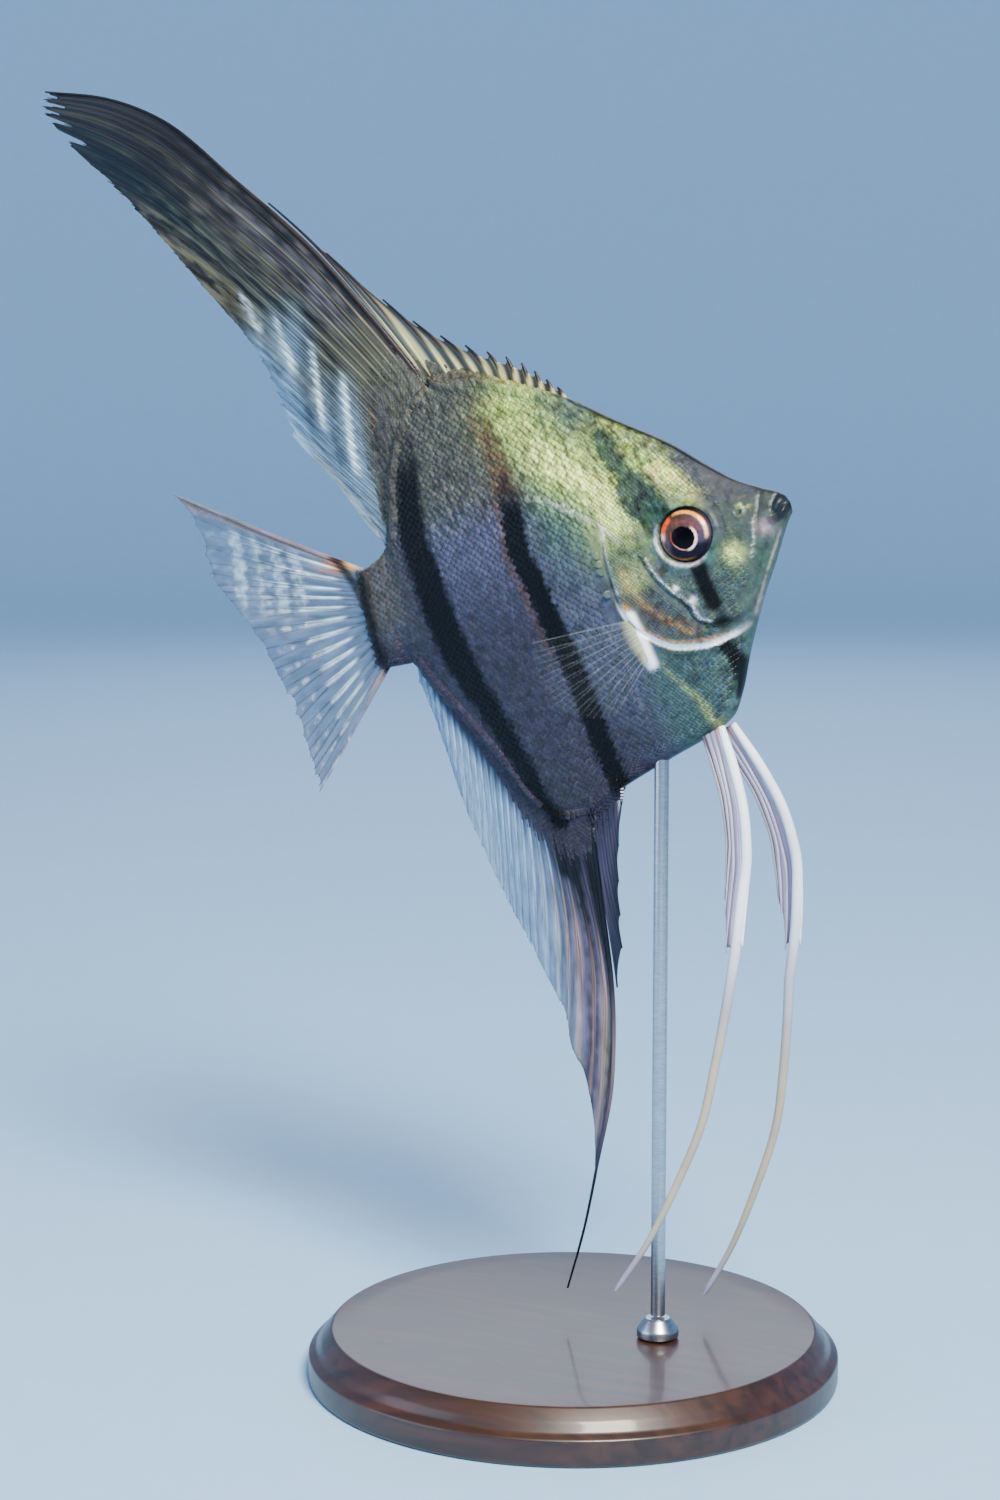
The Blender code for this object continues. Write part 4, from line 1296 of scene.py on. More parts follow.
@dataclass
class ScaleCoat:
    """The scales of one side, each a thin closed plate whose rear edge lies over the next."""

    side: Side
    part: str = "rear"
    length: float = 1.70
    width: float = 1.12
    patch_uv: float = 0.003
    nodes: tuple[str, ...] = FLESH
    finish: WetSkin = WetSkin("wet_guanine_scales", scales=True)
    spans: dict[str, tuple[float, float]] = field(default_factory=lambda: {
        "head": (13.0, 40.0), "shoulder": (-1.0, 13.0), "rear": (-40.0, -1.0)})

    def plate(self) -> bpy.types.Object:
        """One scale of length and width 1, its root at the origin and its free edge along +X.

        Returns:
            The scale, with its masks.
        """
        across = np.linspace(-1, 1, 5)
        runs = np.linspace(0, 1, 4)
        v, u = np.meshgrid(across, runs)
        wide = 0.34 + 0.30 * np.sin(math.pi * np.clip(u * 0.62 + 0.14, 0, 1))
        x = u * (1 - 0.20 * v ** 2 * u)
        y = v * wide * np.where(u > 0.9, 0.60, 1.0)
        dome = 0.035 * (1 - v ** 2)
        top = np.stack([x, y, -0.15 + 0.24 * u + dome], -1)
        low = top - np.array([0.0, 0.0, 0.030])
        sheet = grid_faces(4, 5).tolist()
        rim = [0, 1, 2, 3, 4, 9, 14, 19, 18, 17, 16, 15, 10, 5]
        faces = sheet + [[k + 20 for k in reversed(rim)]]
        faces += [[a, a + 20, b + 20, b] for a, b in zip(rim, rim[1:] + rim[:1])]
        edge = np.clip(np.maximum(smooth(0.72, 1.0, u), smooth(0.7, 1.0, np.abs(v)) * u), 0, 1).ravel()
        patch = np.stack([u.ravel() - 0.5, 0.5 * v.ravel(), 0 * u.ravel()], -1)
        return mesh_piece("scale_plate", np.concatenate([top.reshape(-1, 3), low.reshape(-1, 3)]), faces,
                          {"edge": np.tile(edge, 2), "patch": np.tile(patch, (2, 1))})

    def guides(self) -> tuple[Array, Array, Array, Array]:
        """Roots of the scales on staggered rows.

        Returns:
            The x and z of each root, its scale's length in millimetres and its lift.
        """
        chance = np.random.default_rng(SEED)
        found = []
        for patch in PATCHES:
            columns = np.arange(-36.0, 36.0, patch.pitch)
            rows = np.arange(-34.0, 38.0, patch.row)
            x, z = np.meshgrid(columns, rows)
            x = x + (np.arange(len(rows)) % 2)[:, None] * patch.pitch / 2
            lean = np.maximum(x - 6.0, 0.0)
            z = z - 0.012 * lean ** 2
            x = x.ravel() + chance.normal(0, 0.05 * patch.pitch, x.size)
            z = z.ravel() + chance.normal(0, 0.04 * patch.pitch, z.size)
            edge = np.abs(FISH.share(x, z))
            by_fin = (x < np.where(z > 0, -1.5, -2.5)) & (x > -29.5)
            inside = (edge < np.where(by_fin, 0.945, 0.99)) & (x > FISH.tail_end + 0.6) & (x < 34)
            x, z = x[inside], z[inside]
            keep = patch.where(x, z)
            count = int(keep.sum())
            found.append((x[keep], z[keep], patch.pitch * chance.uniform(0.92, 1.08, count),
                          patch.lift * chance.uniform(0.8, 1.2, count)))
        return tuple(np.concatenate(part) for part in zip(*found))

    def tree(self) -> bpy.types.GeometryNodeTree:
        """Geometry tree that sets a scale on each guide point.

        Returns:
            The tree.
        """
        tree = new_tree("lay_scales", {"Plate": "Object", "Finish": "Material", "Length": "Float",
                                       "Width": "Float", "Lift": "Float"})
        given = add(tree, "NodeGroupInput").outputs
        size, rise, normal, lie = (
            add(tree, "GeometryNodeInputNamedAttribute", {"Name": name}, data_type=kind).outputs["Attribute"]
            for name, kind in (("size", "FLOAT"), ("rise", "FLOAT"), ("normal", "FLOAT_VECTOR"),
                               ("lie", "FLOAT_VECTOR")))
        turned = add(tree, "FunctionNodeAxesToRotation", {"Primary Axis": normal, "Secondary Axis": lie},
                     primary_axis="Z", secondary_axis="X")
        long, wide, tall = (add(tree, "ShaderNodeMath", {0: own, 1: given[name]},
                                operation="MULTIPLY").outputs[0]
                            for own, name in ((size, "Length"), (size, "Width"), (rise, "Lift")))
        scale = add(tree, "ShaderNodeCombineXYZ", {"X": long, "Y": wide, "Z": tall}).outputs[0]
        plate = add(tree, "GeometryNodeObjectInfo", {"Object": given["Plate"]}).outputs["Geometry"]
        laid = add(tree, "GeometryNodeInstanceOnPoints", {"Points": given["Geometry"], "Instance": plate,
                                                          "Rotation": turned.outputs[0], "Scale": scale})
        real = add(tree, "GeometryNodeRealizeInstances", {"Geometry": laid.outputs[0]}).outputs[0]
        done = add(tree, "GeometryNodeSetMaterial",
                   {"Geometry": real, "Material": given["Finish"]}).outputs[0]
        add(tree, "NodeGroupOutput", {"Geometry": done})
        return tree

    def spots(self) -> "Spots":
        """Where and how each scale of this side lies.

        Returns:
            The spots.
        """
        sign = self.side.value
        x, z, size, rise = self.guides()
        low, high = self.spans[self.part]
        mine = (x > low) & (x <= high)
        x, z, size, rise = x[mine], z[mine], size[mine], rise[mine]
        points, normals = side_surface(x, z, sign)
        down = np.clip(FISH.share(x, z), -1, 1)
        heading = math.pi + 0.20 * down * smooth(0, -26, x) - 0.10 * down * smooth(4, 20, x)
        lie = np.stack([np.cos(heading), np.zeros_like(x), np.sin(heading)], -1)
        r = FLANK.from_eye(x, z)
        rim = gill_side(x, z)
        near_bare = smooth(5.6, 8.0, r) * smooth(30.8, 27.5, x + 0.42 * z) \
            * (1 - 0.8 * smooth(-4.2, -2.4, rim) * (rim < 0) * smooth(9.0, 6.0, z))
        size = size * (0.72 + 0.28 * near_bare)
        crisp = np.where(on_cover(x, z), 0.35, 1.0)
        return Spots(FISH.place(*points.T), FISH.turn(normals), FISH.turn(lie), size,
                     rise * (0.45 + 0.55 * near_bare), crisp, unwrap(x, down, np.full(len(x), sign)))

    def build(self) -> bpy.types.Object:
        """Lays the scales of this side."""
        self.piece = self.lay(f"scales_{self.side.label}_{self.part}", self.spots())
        return self.piece

    def lay(self, name: str, spots: "Spots") -> bpy.types.Object:
        """Lays a scale on each spot, with the flank's markings and its own patch of the unwrap.

        Args:
            name: The piece's name.
            spots: Where and how the scales lie.

        Returns:
            The piece.
        """
        plate = self.plate()
        mesh = bpy.data.meshes.new(name)
        mesh.from_pydata(spots.places.tolist(), [], [])
        count = len(spots.places)
        chance = np.random.default_rng(SEED + self.side.value)
        store(mesh, {"size": spots.size * MM, "rise": spots.rise * MM, "normal": spots.normals,
                     "lie": spots.lies, "tone": chance.uniform(0, 1, count), "crisp": spots.crisp,
                     "root_at": spots.places,
                     "root_uv": np.concatenate([spots.unwrap, np.zeros((count, 1))], 1)})
        piece = into_scene(name, mesh)
        run_nodes(piece, self.tree(), {"Plate": plate, "Finish": self.finish.material(),
                                       "Length": self.length, "Width": self.width, "Lift": 1.0})
        bpy.data.objects.remove(plate)
        made = piece.data
        got = {key: take(made, key) for key in ("root_uv", "patch", "root_at", "crisp", "edge")}
        own = np.empty(len(made.vertices) * 3, np.float32)
        made.vertices.foreach_get("co", own)
        x, z = FISH.side_place(own.reshape(-1, 3))
        root_x, root_z = FISH.side_place(got["root_at"])
        # Markings follow the skin on the smooth cheek, and step a little from scale to scale on the flank.
        step = 0.55 * np.where(got["crisp"] > 0.5, 1.0, 0.0)
        masks = FLANK.masks(x + step * (root_x - x), z + step * (root_z - z))
        # The scales get no painted crease shade.
        masks["fold"] = np.zeros(len(x))
        masks["edge"] = got["edge"] * got["crisp"]
        store(made, masks)
        places = got["root_uv"][:, :2] + self.patch_uv * got["patch"][:, :2]
        set_unwrap(made, places[loop_points(made)])
        made.shade_smooth()
        return piece

    def dress(self) -> None:
        """Puts the scales in place of the nodes of flesh, over the skin."""
        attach(self.piece, "root")
        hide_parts(*self.nodes)


@dataclass(frozen=True)
class Spots:
    """Roots of scales: places, normals and lies in the model's frame, sizes and lifts in millimetres."""

    places: Array
    normals: Array
    lies: Array
    size: Array
    rise: Array
    crisp: Array
    unwrap: Array


# The near-black outline wash is painted shade in the crevice between the eye and its socket.
EYE_WASHES = (
    Wash("dusk", "#433B4E"), Wash("violet", "#0E0A16"), Wash("russet", "#6A3A34"), Wash("orange", "#F0470F"),
    Wash("amber", "#F0A03C"), Wash("blush", "#FFDCD0"), Wash("outline", "#050404"), Wash("pupil", "#010101"),
)


@dataclass(frozen=True)
class WetIris:
    """Iris of an angelfish: red-orange and gold round a black pupil, under a clear wet cornea."""

    # Pigment cells over a silvery layer: a warm, slightly metallic glow, and the cornea's small sharp glint.
    name: str = "wet_orange_iris"
    ground: str = "#3A2A20"
    fleck_mm: float = 0.40

    def material(self) -> bpy.types.Material:
        """Builds the material.

        Returns:
            The material.
        """
        made, tree, shader = new_material(self.name, {
            "Roughness": 0.35, "Metallic": 0.15, "Specular IOR Level": 0.08, "Coat Weight": 0.14,
            "Coat Roughness": 0.03, "Coat IOR": 1.33})
        colour = layered(tree, self.ground, EYE_WASHES)
        place = add(tree, "ShaderNodeTexCoord").outputs["Object"]
        fleck = add(tree, "ShaderNodeTexNoise",
                    {"Vector": place, "Scale": 1 / (self.fleck_mm * MM), "Detail": 3.0})
        light = add(tree, "ShaderNodeMapRange",
                    {"Value": fleck.outputs["Fac"], "From Min": 0.3, "From Max": 0.7,
                     "To Min": 0.72, "To Max": 1.25}).outputs["Result"]
        colour = add(tree, "ShaderNodeVectorMath", {0: colour, 1: light}, operation="MULTIPLY").outputs[0]
        tree.links.new(colour, shader.inputs["Base Color"])
        return made


@dataclass
class Eye:
    """An eye set in its socket: lens bulging through the pupil, sloping iris, and a dark outline painted as
    shade in the socket's crevice.
    """

    side: Side
    radius: float = 4.35
    shrink: float = 0.95
    pupil: float = 1.78
    pupil_place: tuple[float, float] = (0.05, -0.34)
    depth: float = 2.3
    around: int = 96
    steps: int = 4
    profile: Pairs = ((0.0, 2.12), (0.8, 2.09), (1.5, 2.00), (2.1, 1.87), (2.6, 1.72), (3.0, 1.56),
                      (3.4, 1.36), (3.75, 1.12), (4.05, 0.84), (4.32, 0.40), (4.20, -0.2), (3.4, -0.9),
                      (2.0, -1.3), (0.0, -1.4))

    def masks(self, r: Array, a: Array) -> Masks:
        """Iris colours by distance from the pupil's centre and angle, from forward (0) towards the back.

        Args:
            r: Distances from the middle of the iris, in millimetres.
            a: Angles about it, from forward (0) towards the back.

        Returns:
            The share of each wash, from 0 to 1, by its name.
        """
        made: Masks = {}
        px, pz = r * np.cos(a) - self.pupil_place[0], r * np.sin(a) - self.pupil_place[1]
        rp, ap = np.hypot(px, pz), np.arctan2(pz, px)
        edge = self.pupil * (1 + 0.045 * np.cos(2 * ap + 1.2) + 0.02 * np.sin(3 * ap))
        top = smooth(0.1, 0.9, np.sin(a))
        grain = wobble(r * np.cos(a), r * np.sin(a), 0.7, 0.5)
        made["dusk"] = 0.85 * smooth(2.2, 2.6, r) * smooth(0.5, -0.2, np.sin(a)) \
            + 0.45 * smooth(-0.1, 0.5, np.cos(a))
        made["violet"] = np.clip(0.97 * smooth(-0.35, -0.75, np.sin(a + 0.25 * (3.0 - r)))
                                 * smooth(4.3, 3.9, r)
                                 + 0.55 * top * smooth(3.3, 3.6, r), 0, 1)
        made["russet"] = np.clip(0.75 * bump(rp, 2.45, 0.45) * smooth(0.35, 0.85, np.cos(ap - 1.1)), 0, 1)
        made["orange"] = np.clip(1.1 * smooth(0.86, 0.96, np.cos(a - 2.50)) * flat(r, 3.42, 0.50)
                                 + 0.50 * np.exp(-((rp - edge - 0.10) / 0.10) ** 2)
                                 * smooth(0.2, 0.7, np.cos(ap - 3.7)),
                                 0, 1) * (0.85 + 0.25 * grain)
        made["amber"] = np.clip(smooth(0.36, 0.62, np.cos(a - 0.78)) * flat(r, 3.58, 0.27)
                                + 0.30 * bump(r, 3.72, 0.16) * smooth(-0.2, -0.8, np.cos(a - 0.6)), 0, 1) \
            * (0.85 + 0.25 * grain)
        made["blush"] = np.clip(np.exp(-((rp - edge - 0.21) / 0.20) ** 4)
                                * smooth(0.30, 0.80, np.cos(ap + 0.42))
                                + 0.85 * np.exp(-(np.hypot((a - 3.0) / 0.17, (r - 3.45) / 0.45)) ** 2)
                                + 0.60 * flat(r, 3.58, 0.20) * smooth(0.88, 0.99, np.cos(a - 0.05))
                                + 0.40 * np.exp(-((rp - edge - 0.10) / 0.09) ** 2)
                                * smooth(0.7, 0.95, np.cos(ap + 2.2)),
                                0, 1)
        # Painted shade in the crevice between eye and socket, darkest at the top and upper rear.
        made["outline"] = smooth(3.98 - 0.25 * top, 4.12 - 0.12 * top, r) \
            * (0.35 + 0.65 * smooth(0.2, 0.8, np.cos(a - 2.0)))
        made["pupil"] = smooth(edge + 0.05, edge - 0.04, rp)
        return made

    def build(self) -> bpy.types.Object:
        """Turns the profile about the eye's own axis.

        Returns:
            The eye.
        """
        sign = self.side.value
        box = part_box(f"eye_{self.side.label}")
        centre = (np.asarray(box[0], float) + np.asarray(box[1], float)) / 2 / MM
        fine = [(r0 + (r1 - r0) * k / self.steps, h0 + (h1 - h0) * k / self.steps)
                for (r0, h0), (r1, h1) in zip(self.profile, self.profile[1:]) for k in range(self.steps)]
        r, h = np.array(fine[1:]).T
        a = np.linspace(0, math.tau, self.around, endpoint=False)
        rr, aa = np.meshgrid(r, a, indexing="ij")
        hh = np.repeat(h[:, None], self.around, 1)
        x, z = self.shrink * rr * np.cos(aa), self.shrink * rr * np.sin(aa)
        lean = 0.10 * x
        local = np.stack([x.ravel(), sign * (hh - lean).ravel(), z.ravel()], -1)
        ends = np.array([[0.0, sign * self.profile[0][1], 0.0], [0.0, sign * self.profile[-1][1], 0.0]])
        local = np.concatenate([local, ends])
        points = (FISH.turn(local) + centre) * MM
        faces = tube_faces(len(r), self.around)
        front = np.where(hh.ravel() > 0.3, rr.ravel(), 4.3)
        masks = self.masks(np.append(front, [0.0, 4.3]), np.append(aa.ravel(), [0.0, 0.0]))
        self.piece = mesh_piece(f"eyeball_{self.side.label}", points, faces, masks)
        return self.piece

    def dress(self) -> None:
        """Gives the eye its finish in place of its node."""
        self.piece.data.materials.append(WetIris().material())
        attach(self.piece, "root")
        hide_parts(f"eye_{self.side.label}")


# Fins.

FIN_WASHES = (
    Wash("navy", "#1D2440"), Wash("slate", "#47566E"), Wash("plum", "#4A4258"), Wash("lilac", "#8D87A6"),
    Wash("olive", "#4B4C3A"), Wash("cream", "#D0C882"), Wash("blue", "#7FA6C8"), Wash("rose", "#A48A7C"),
    Wash("amber", "#B9742A"), Wash("brown", "#33201A"), Wash("ink", "#080910"), Wash("pale", "#CBE8F2"),
    Wash("white", "#F2F6FA"),
)
FIN_MASKS = tuple(wash.mask for wash in FIN_WASHES) + ("clear",)


def sweep_tree() -> bpy.types.GeometryNodeTree:
    """Geometry tree that turns each line of a piece's guide into a closed round rod.

    Returns:
        The tree.
    """
    tree = new_tree("sweep_rays", {"Finish": "Material", "Sides": "Int", "Thickness": "Float"})
    given = add(tree, "NodeGroupInput").outputs
    radius = add(tree, "GeometryNodeInputNamedAttribute", {"Name": "radius"}).outputs["Attribute"]
    size = add(tree, "ShaderNodeMath", {0: radius, 1: given["Thickness"]}, operation="MULTIPLY").outputs[0]
    lines = add(tree, "GeometryNodeMeshToCurve", {"Mesh": given["Geometry"]}).outputs[0]
    ring = add(tree, "GeometryNodeCurvePrimitiveCircle",
               {"Resolution": given["Sides"], "Radius": 1.0}).outputs[0]
    rods = add(tree, "GeometryNodeCurveToMesh", {"Curve": lines, "Profile Curve": ring, "Scale": size,
                                                 "Fill Caps": True}).outputs[0]
    real = add(tree, "GeometryNodeRealizeInstances", {"Geometry": rods}).outputs[0]
    round_rods = add(tree, "GeometryNodeSetShadeSmooth", {"Geometry": real}).outputs[0]
    done = add(tree, "GeometryNodeSetMaterial",
               {"Geometry": round_rods, "Material": given["Finish"]}).outputs[0]
    add(tree, "NodeGroupOutput", {"Geometry": done})
    return tree


@dataclass
class Lines:
    """Guide lines gathered for one sweep, with a radius and masks for each point."""

    points: list[Array] = field(default_factory=list)
    radii: list[Array] = field(default_factory=list)
    masks: list[Masks] = field(default_factory=list)

    def add(self, points: Array, radius: Array, masks: Masks) -> None:
        """Adds one line of points in metres, its radii in millimetres and its masks.

        Args:
            points: Places along the line.
            radius: The radius at each.
            masks: The masks at each, by name.
        """
        self.points.append(points)
        self.radii.append(radius)
        self.masks.append(masks)

    def sweep(self, name: str, finish: bpy.types.Material, sides: int,
              thickness: float = 1.0) -> bpy.types.Object:
        """Sweeps all the lines into one piece of closed rods.

        Args:
            name: The piece's name.
            finish: Its material.
            sides: How many sides a rod has.
            thickness: Factor on the radii.

        Returns:
            The piece.
        """
        mesh = bpy.data.meshes.new(name)
        edges, start = [], 0
        for line in self.points:
            edges += [(start + k, start + k + 1) for k in range(len(line) - 1)]
            start += len(line)
        mesh.from_pydata(np.concatenate(self.points).tolist(), edges, [])
        store(mesh, {key: np.concatenate([m[key] for m in self.masks]) for key in self.masks[0]})
        store(mesh, {"radius": np.concatenate(self.radii) * MM})
        piece = into_scene(name, mesh)
        run_nodes(piece, sweep_tree(), {"Finish": finish, "Sides": sides, "Thickness": thickness})
        return piece


def slab(name: str, right: Array, left: Array, masks: Masks) -> bpy.types.Object:
    """Closed thin sheet between two grids of points in metres, which share their masks.

    Args:
        name: The piece's name.
        right: Grid of places on the right.
        left: The same on the left.
        masks: The masks of the grid, by name.

    Returns:
        The piece.
    """
    rows, columns = right.shape[:2]
    count = rows * columns
    faces = grid_faces(rows, columns).tolist()
    faces += [[k + count for k in reversed(face)] for face in faces]
    rim = list(range(columns))
    rim += [r * columns + columns - 1 for r in range(1, rows)]
    rim += [(rows - 1) * columns + k for k in range(columns - 2, -1, -1)]
    rim += [r * columns for r in range(rows - 2, 0, -1)]
    faces += [[b, a, a + count, b + count] for a, b in zip(rim, rim[1:] + rim[:1])]
    points = np.concatenate([right.reshape(-1, 3), left.reshape(-1, 3)])
    both = {key: np.tile(np.broadcast_to(value, (rows, columns)).ravel(), 2) for key, value in masks.items()}
    return mesh_piece(name, points, faces, both)


@dataclass
class RayedFin:
    """A fin of forked rays joined by a thin, gently waved membrane.

    u runs across the fin from its leading ray to its last, v along a ray from root to tip.
    """

    name: str
    nodes: tuple[str, ...]
    rays: int
    roots: Path
    edge_points: Sequence[tuple[float, float, float]]
    leading: Path | None = None
    bow_power: float = 3.0
    per_ray: int = 6
    rows: int = 64
    thick_root: float = 1.9
    thick_tip: float = 0.14
    flare_mm: float = 2.4
    ray_root: float = 0.30
    ray_tip: float = 0.10
    lead_root: float = 0.45
    lead_tip: float = 0.16
    fork: float = 0.42
    fork_spread: float = 0.27
    scallop_mm: float = 1.2
    sink_mm: float = 1.1
    wave_mm: float = 0.55
    waves: float = 2.3
    corrugation_mm: float = 0.10
    clear_alpha: float = 0.40
    ground: str = "#56625F"
    slot: str = "fin"
    seed: int = SEED
    tears: Sequence[tuple[float, float, float]] = ()
    streak: float = 0.35
    ray_sides: int = 6

    def tip(self, u: Array) -> tuple[Array, Array]:
        """Point of the outer edge at each share across the fin.

        Args:
            u: Places across the fin, from 0 to 1.

        Returns:
            Their x and z, in millimetres.
        """
        shares = [p[0] for p in self.edge_points]
        return (spline(shares, [p[1] for p in self.edge_points], u),
                spline(shares, [p[2] for p in self.edge_points], u))

    def spot(self, u: Array, v: Array) -> tuple[Array, Array]:
        """x and z of the fin at u and v.

        Args:
            u: Places across the fin, from 0 to 1.
            v: Places along its rays, from 0 to 1.

        Returns:
            Their x and z, in millimetres.
        """
        xr, zr = self.roots.at(u)
        xt, zt = self.tip(u)
        away = np.hypot(xt - xr, zt - zr)
        sunk = self.sink_mm * (1 - v) ** 3
        x = xr + (xt - xr) * (v - sunk / away)
        z = zr + (zt - zr) * (v - sunk / away)
        if self.leading is not None:
            lead_x, lead_z = self.leading.at(v)
            (x0, z0), (x1, z1) = self.leading.points[0], self.leading.points[-1]
            share = (1 - u) ** self.bow_power
            x = x + share * (lead_x - x0 - (x1 - x0) * v)
            z = z + share * (lead_z - z0 - (z1 - z0) * v)
        return x, z

    def middle(self, x: Array, z: Array, u: Array, v: Array) -> Array:
        """y of the fin's middle surface."""
        wave = self.wave_mm * smooth(0.1, 0.9, v) * np.sin(math.tau * self.waves * u + 2.4 * v + self.seed)
        return FISH.sway(x, z) + wave

    def reach(self, u: Array) -> Array:
        """How far out the membrane goes at u, as a share of the ray's length.

        Args:
            u: Places across the fin, from 0 to 1.

        Returns:
            v of the membrane's edge.
        """
        place = u * (self.rays - 1)
        part = place - np.floor(place)
        chance = np.random.default_rng(self.seed).uniform(0.35, 1.25, self.rays + 1)
        depth = chance[np.clip(np.floor(place).astype(int), 0, self.rays)]
        xr, zr = self.roots.at(u)
        xt, zt = self.tip(u)
        away = np.hypot(xt - xr, zt - zr)
        cut = 1 - self.scallop_mm * depth * np.sin(math.pi * part) ** 0.7 / away
        for centre, width, length in self.tears:
            cut = np.minimum(cut, 1 - length * np.exp(-((u - centre) / width) ** 4))
        return cut

    def marks(self, x: Array, z: Array, u: Array, v: Array) -> Masks:
        """Colour masks of the fin; each fin gives its own."""
        raise NotImplementedError

    def all_marks(self, x: Array, z: Array, u: Array, v: Array) -> Masks:
        """The fin's masks with the unused ones at 0 and the place along and across its rays.

        Args:
            x: The points' x in the fish's frame, in millimetres.
            z: Their z.
            u: Their places across the fin, from 0 to 1.
            v: Their places along its rays, from 0 to 1.

        Returns:
            The masks by name.
        """
        given = self.marks(x, z, u, v)
        made = {name: np.clip(given.get(name, np.zeros(x.shape)), 0, 1) for name in FIN_MASKS}
        made["across"] = u * self.rays * 2.0
        made["along"] = v * 60.0
        return made

    def thickness(self, u: Array, v: Array) -> Array:
        """Half thickness of the membrane, swelling into the body at its root.

        Args:
            u: Places across the fin, from 0 to 1.
            v: Places along its rays, from 0 to 1.

        Returns:
            Half the thickness, in millimetres.
        """
        xr, zr = self.roots.at(u)
        xt, zt = self.tip(u)
        out = v * np.hypot(xt - xr, zt - zr)
        plain = (self.thick_tip + 0.12 * np.exp(-out / 12.0)) / 2
        return plain + (self.thick_root - self.thick_tip) / 2 * np.exp(-out / self.flare_mm)

    def build_membrane(self) -> bpy.types.Object:
        """Builds the membrane as one closed slab.

        Returns:
            The membrane.
        """
        u = np.linspace(0, 1, (self.rays - 1) * self.per_ray + 1)
        v = np.linspace(0, 1, self.rows) ** 1.05
        uu, vv = np.meshgrid(u, v, indexing="ij")
        vv = vv * self.reach(u)[:, None]
        x, z = self.spot(uu, vv)
        ridge = self.corrugation_mm * np.cos(math.tau * uu * (self.rays - 1)) * smooth(0.02, 0.2, vv)
        y = self.middle(x, z, uu, vv) + ridge
        half = self.thickness(uu, vv)
        masks = self.all_marks(x, z, uu, vv)
        return slab(f"{self.name}_membrane", FISH.place(x, y - half, z, False),
                    FISH.place(x, y + half, z, False), masks)

    def line(self, u: Array, v: Array) -> Array:
        """Places in metres along a line of the fin."""
        x, z = self.spot(u, v)
        return FISH.place(x, self.middle(x, z, u, v), z, False)

    def ray_marks(self, u: Array, v: Array) -> Masks:
        """Masks along a ray, which is as opaque as the root of the fin.

        Args:
            u: Places across the fin, from 0 to 1.
            v: Places along its rays, from 0 to 1.

        Returns:
            The masks by name.
        """
        x, z = self.spot(u, v)
        made = self.all_marks(x, z, u, v)
        made["clear"] = made["clear"] * 0.35
        return made

    def build_rays(self, lines: Lines) -> None:
        """Adds the leading ray and the forked ones to the lines.

        Args:
            lines: Gathers the rays' guide lines.
        """
        chance = np.random.default_rng(self.seed + 1)
        for k in range(self.rays):
            u0 = k / (self.rays - 1)
            lead = k == 0
            root, tip = (self.lead_root, self.lead_tip) if lead else (self.ray_root, self.ray_tip)
            end = 1.0 if lead else chance.uniform(0.985, 1.0)
            fork = 1.0 if lead else self.fork * chance.uniform(0.9, 1.1)
            v = np.linspace(0, 1, 56) if lead else np.linspace(0, fork + 0.02, 24)
            u = np.full(v.shape, u0)
            lines.add(self.line(u, v), root + (tip - root) * v, self.ray_marks(u, v))
            if lead:
                continue
            spread = self.fork_spread / (self.rays - 1)
            for sign in (-1, 1):
                v = np.linspace(fork, end, 30)
                far = (v - fork) / (1 - fork)
                u = np.clip(u0 + sign * spread * far ** 0.8, 0, 1)
                radius = (root + (tip - root) * v) * (0.80 - 0.1 * far)
                cut = v <= self.reach(u) + 0.03
                lines.add(self.line(u[cut], v[cut]), radius[cut], self.ray_marks(u[cut], v[cut]))

    def build(self) -> list[bpy.types.Object]:
        """Builds the membrane and the rays.

        Returns:
            The pieces.
        """
        finish = FinTissue(f"{self.name}_tissue", self.ground, FIN_WASHES, clear_alpha=self.clear_alpha,
                           streak=self.streak).material()
        membrane = self.build_membrane()
        membrane.data.materials.append(finish)
        lines = Lines()
        self.build_rays(lines)
        self.pieces = [membrane, lines.sweep(f"{self.name}_rays", finish, self.ray_sides)]
        return self.pieces

    def dress(self) -> None:
        """Puts the pieces in place of the fin's nodes."""
        for piece in self.pieces:
            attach(piece, "root")
            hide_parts(*self.nodes)


def outline(points: Pairs, x0: float, x1: float) -> Path:
    """Part of the body's outline from x0 to x1, as a path."""
    x = np.linspace(x0, x1, 24)
    return Path(tuple(zip(x.tolist(), along_x(points, x).tolist())))


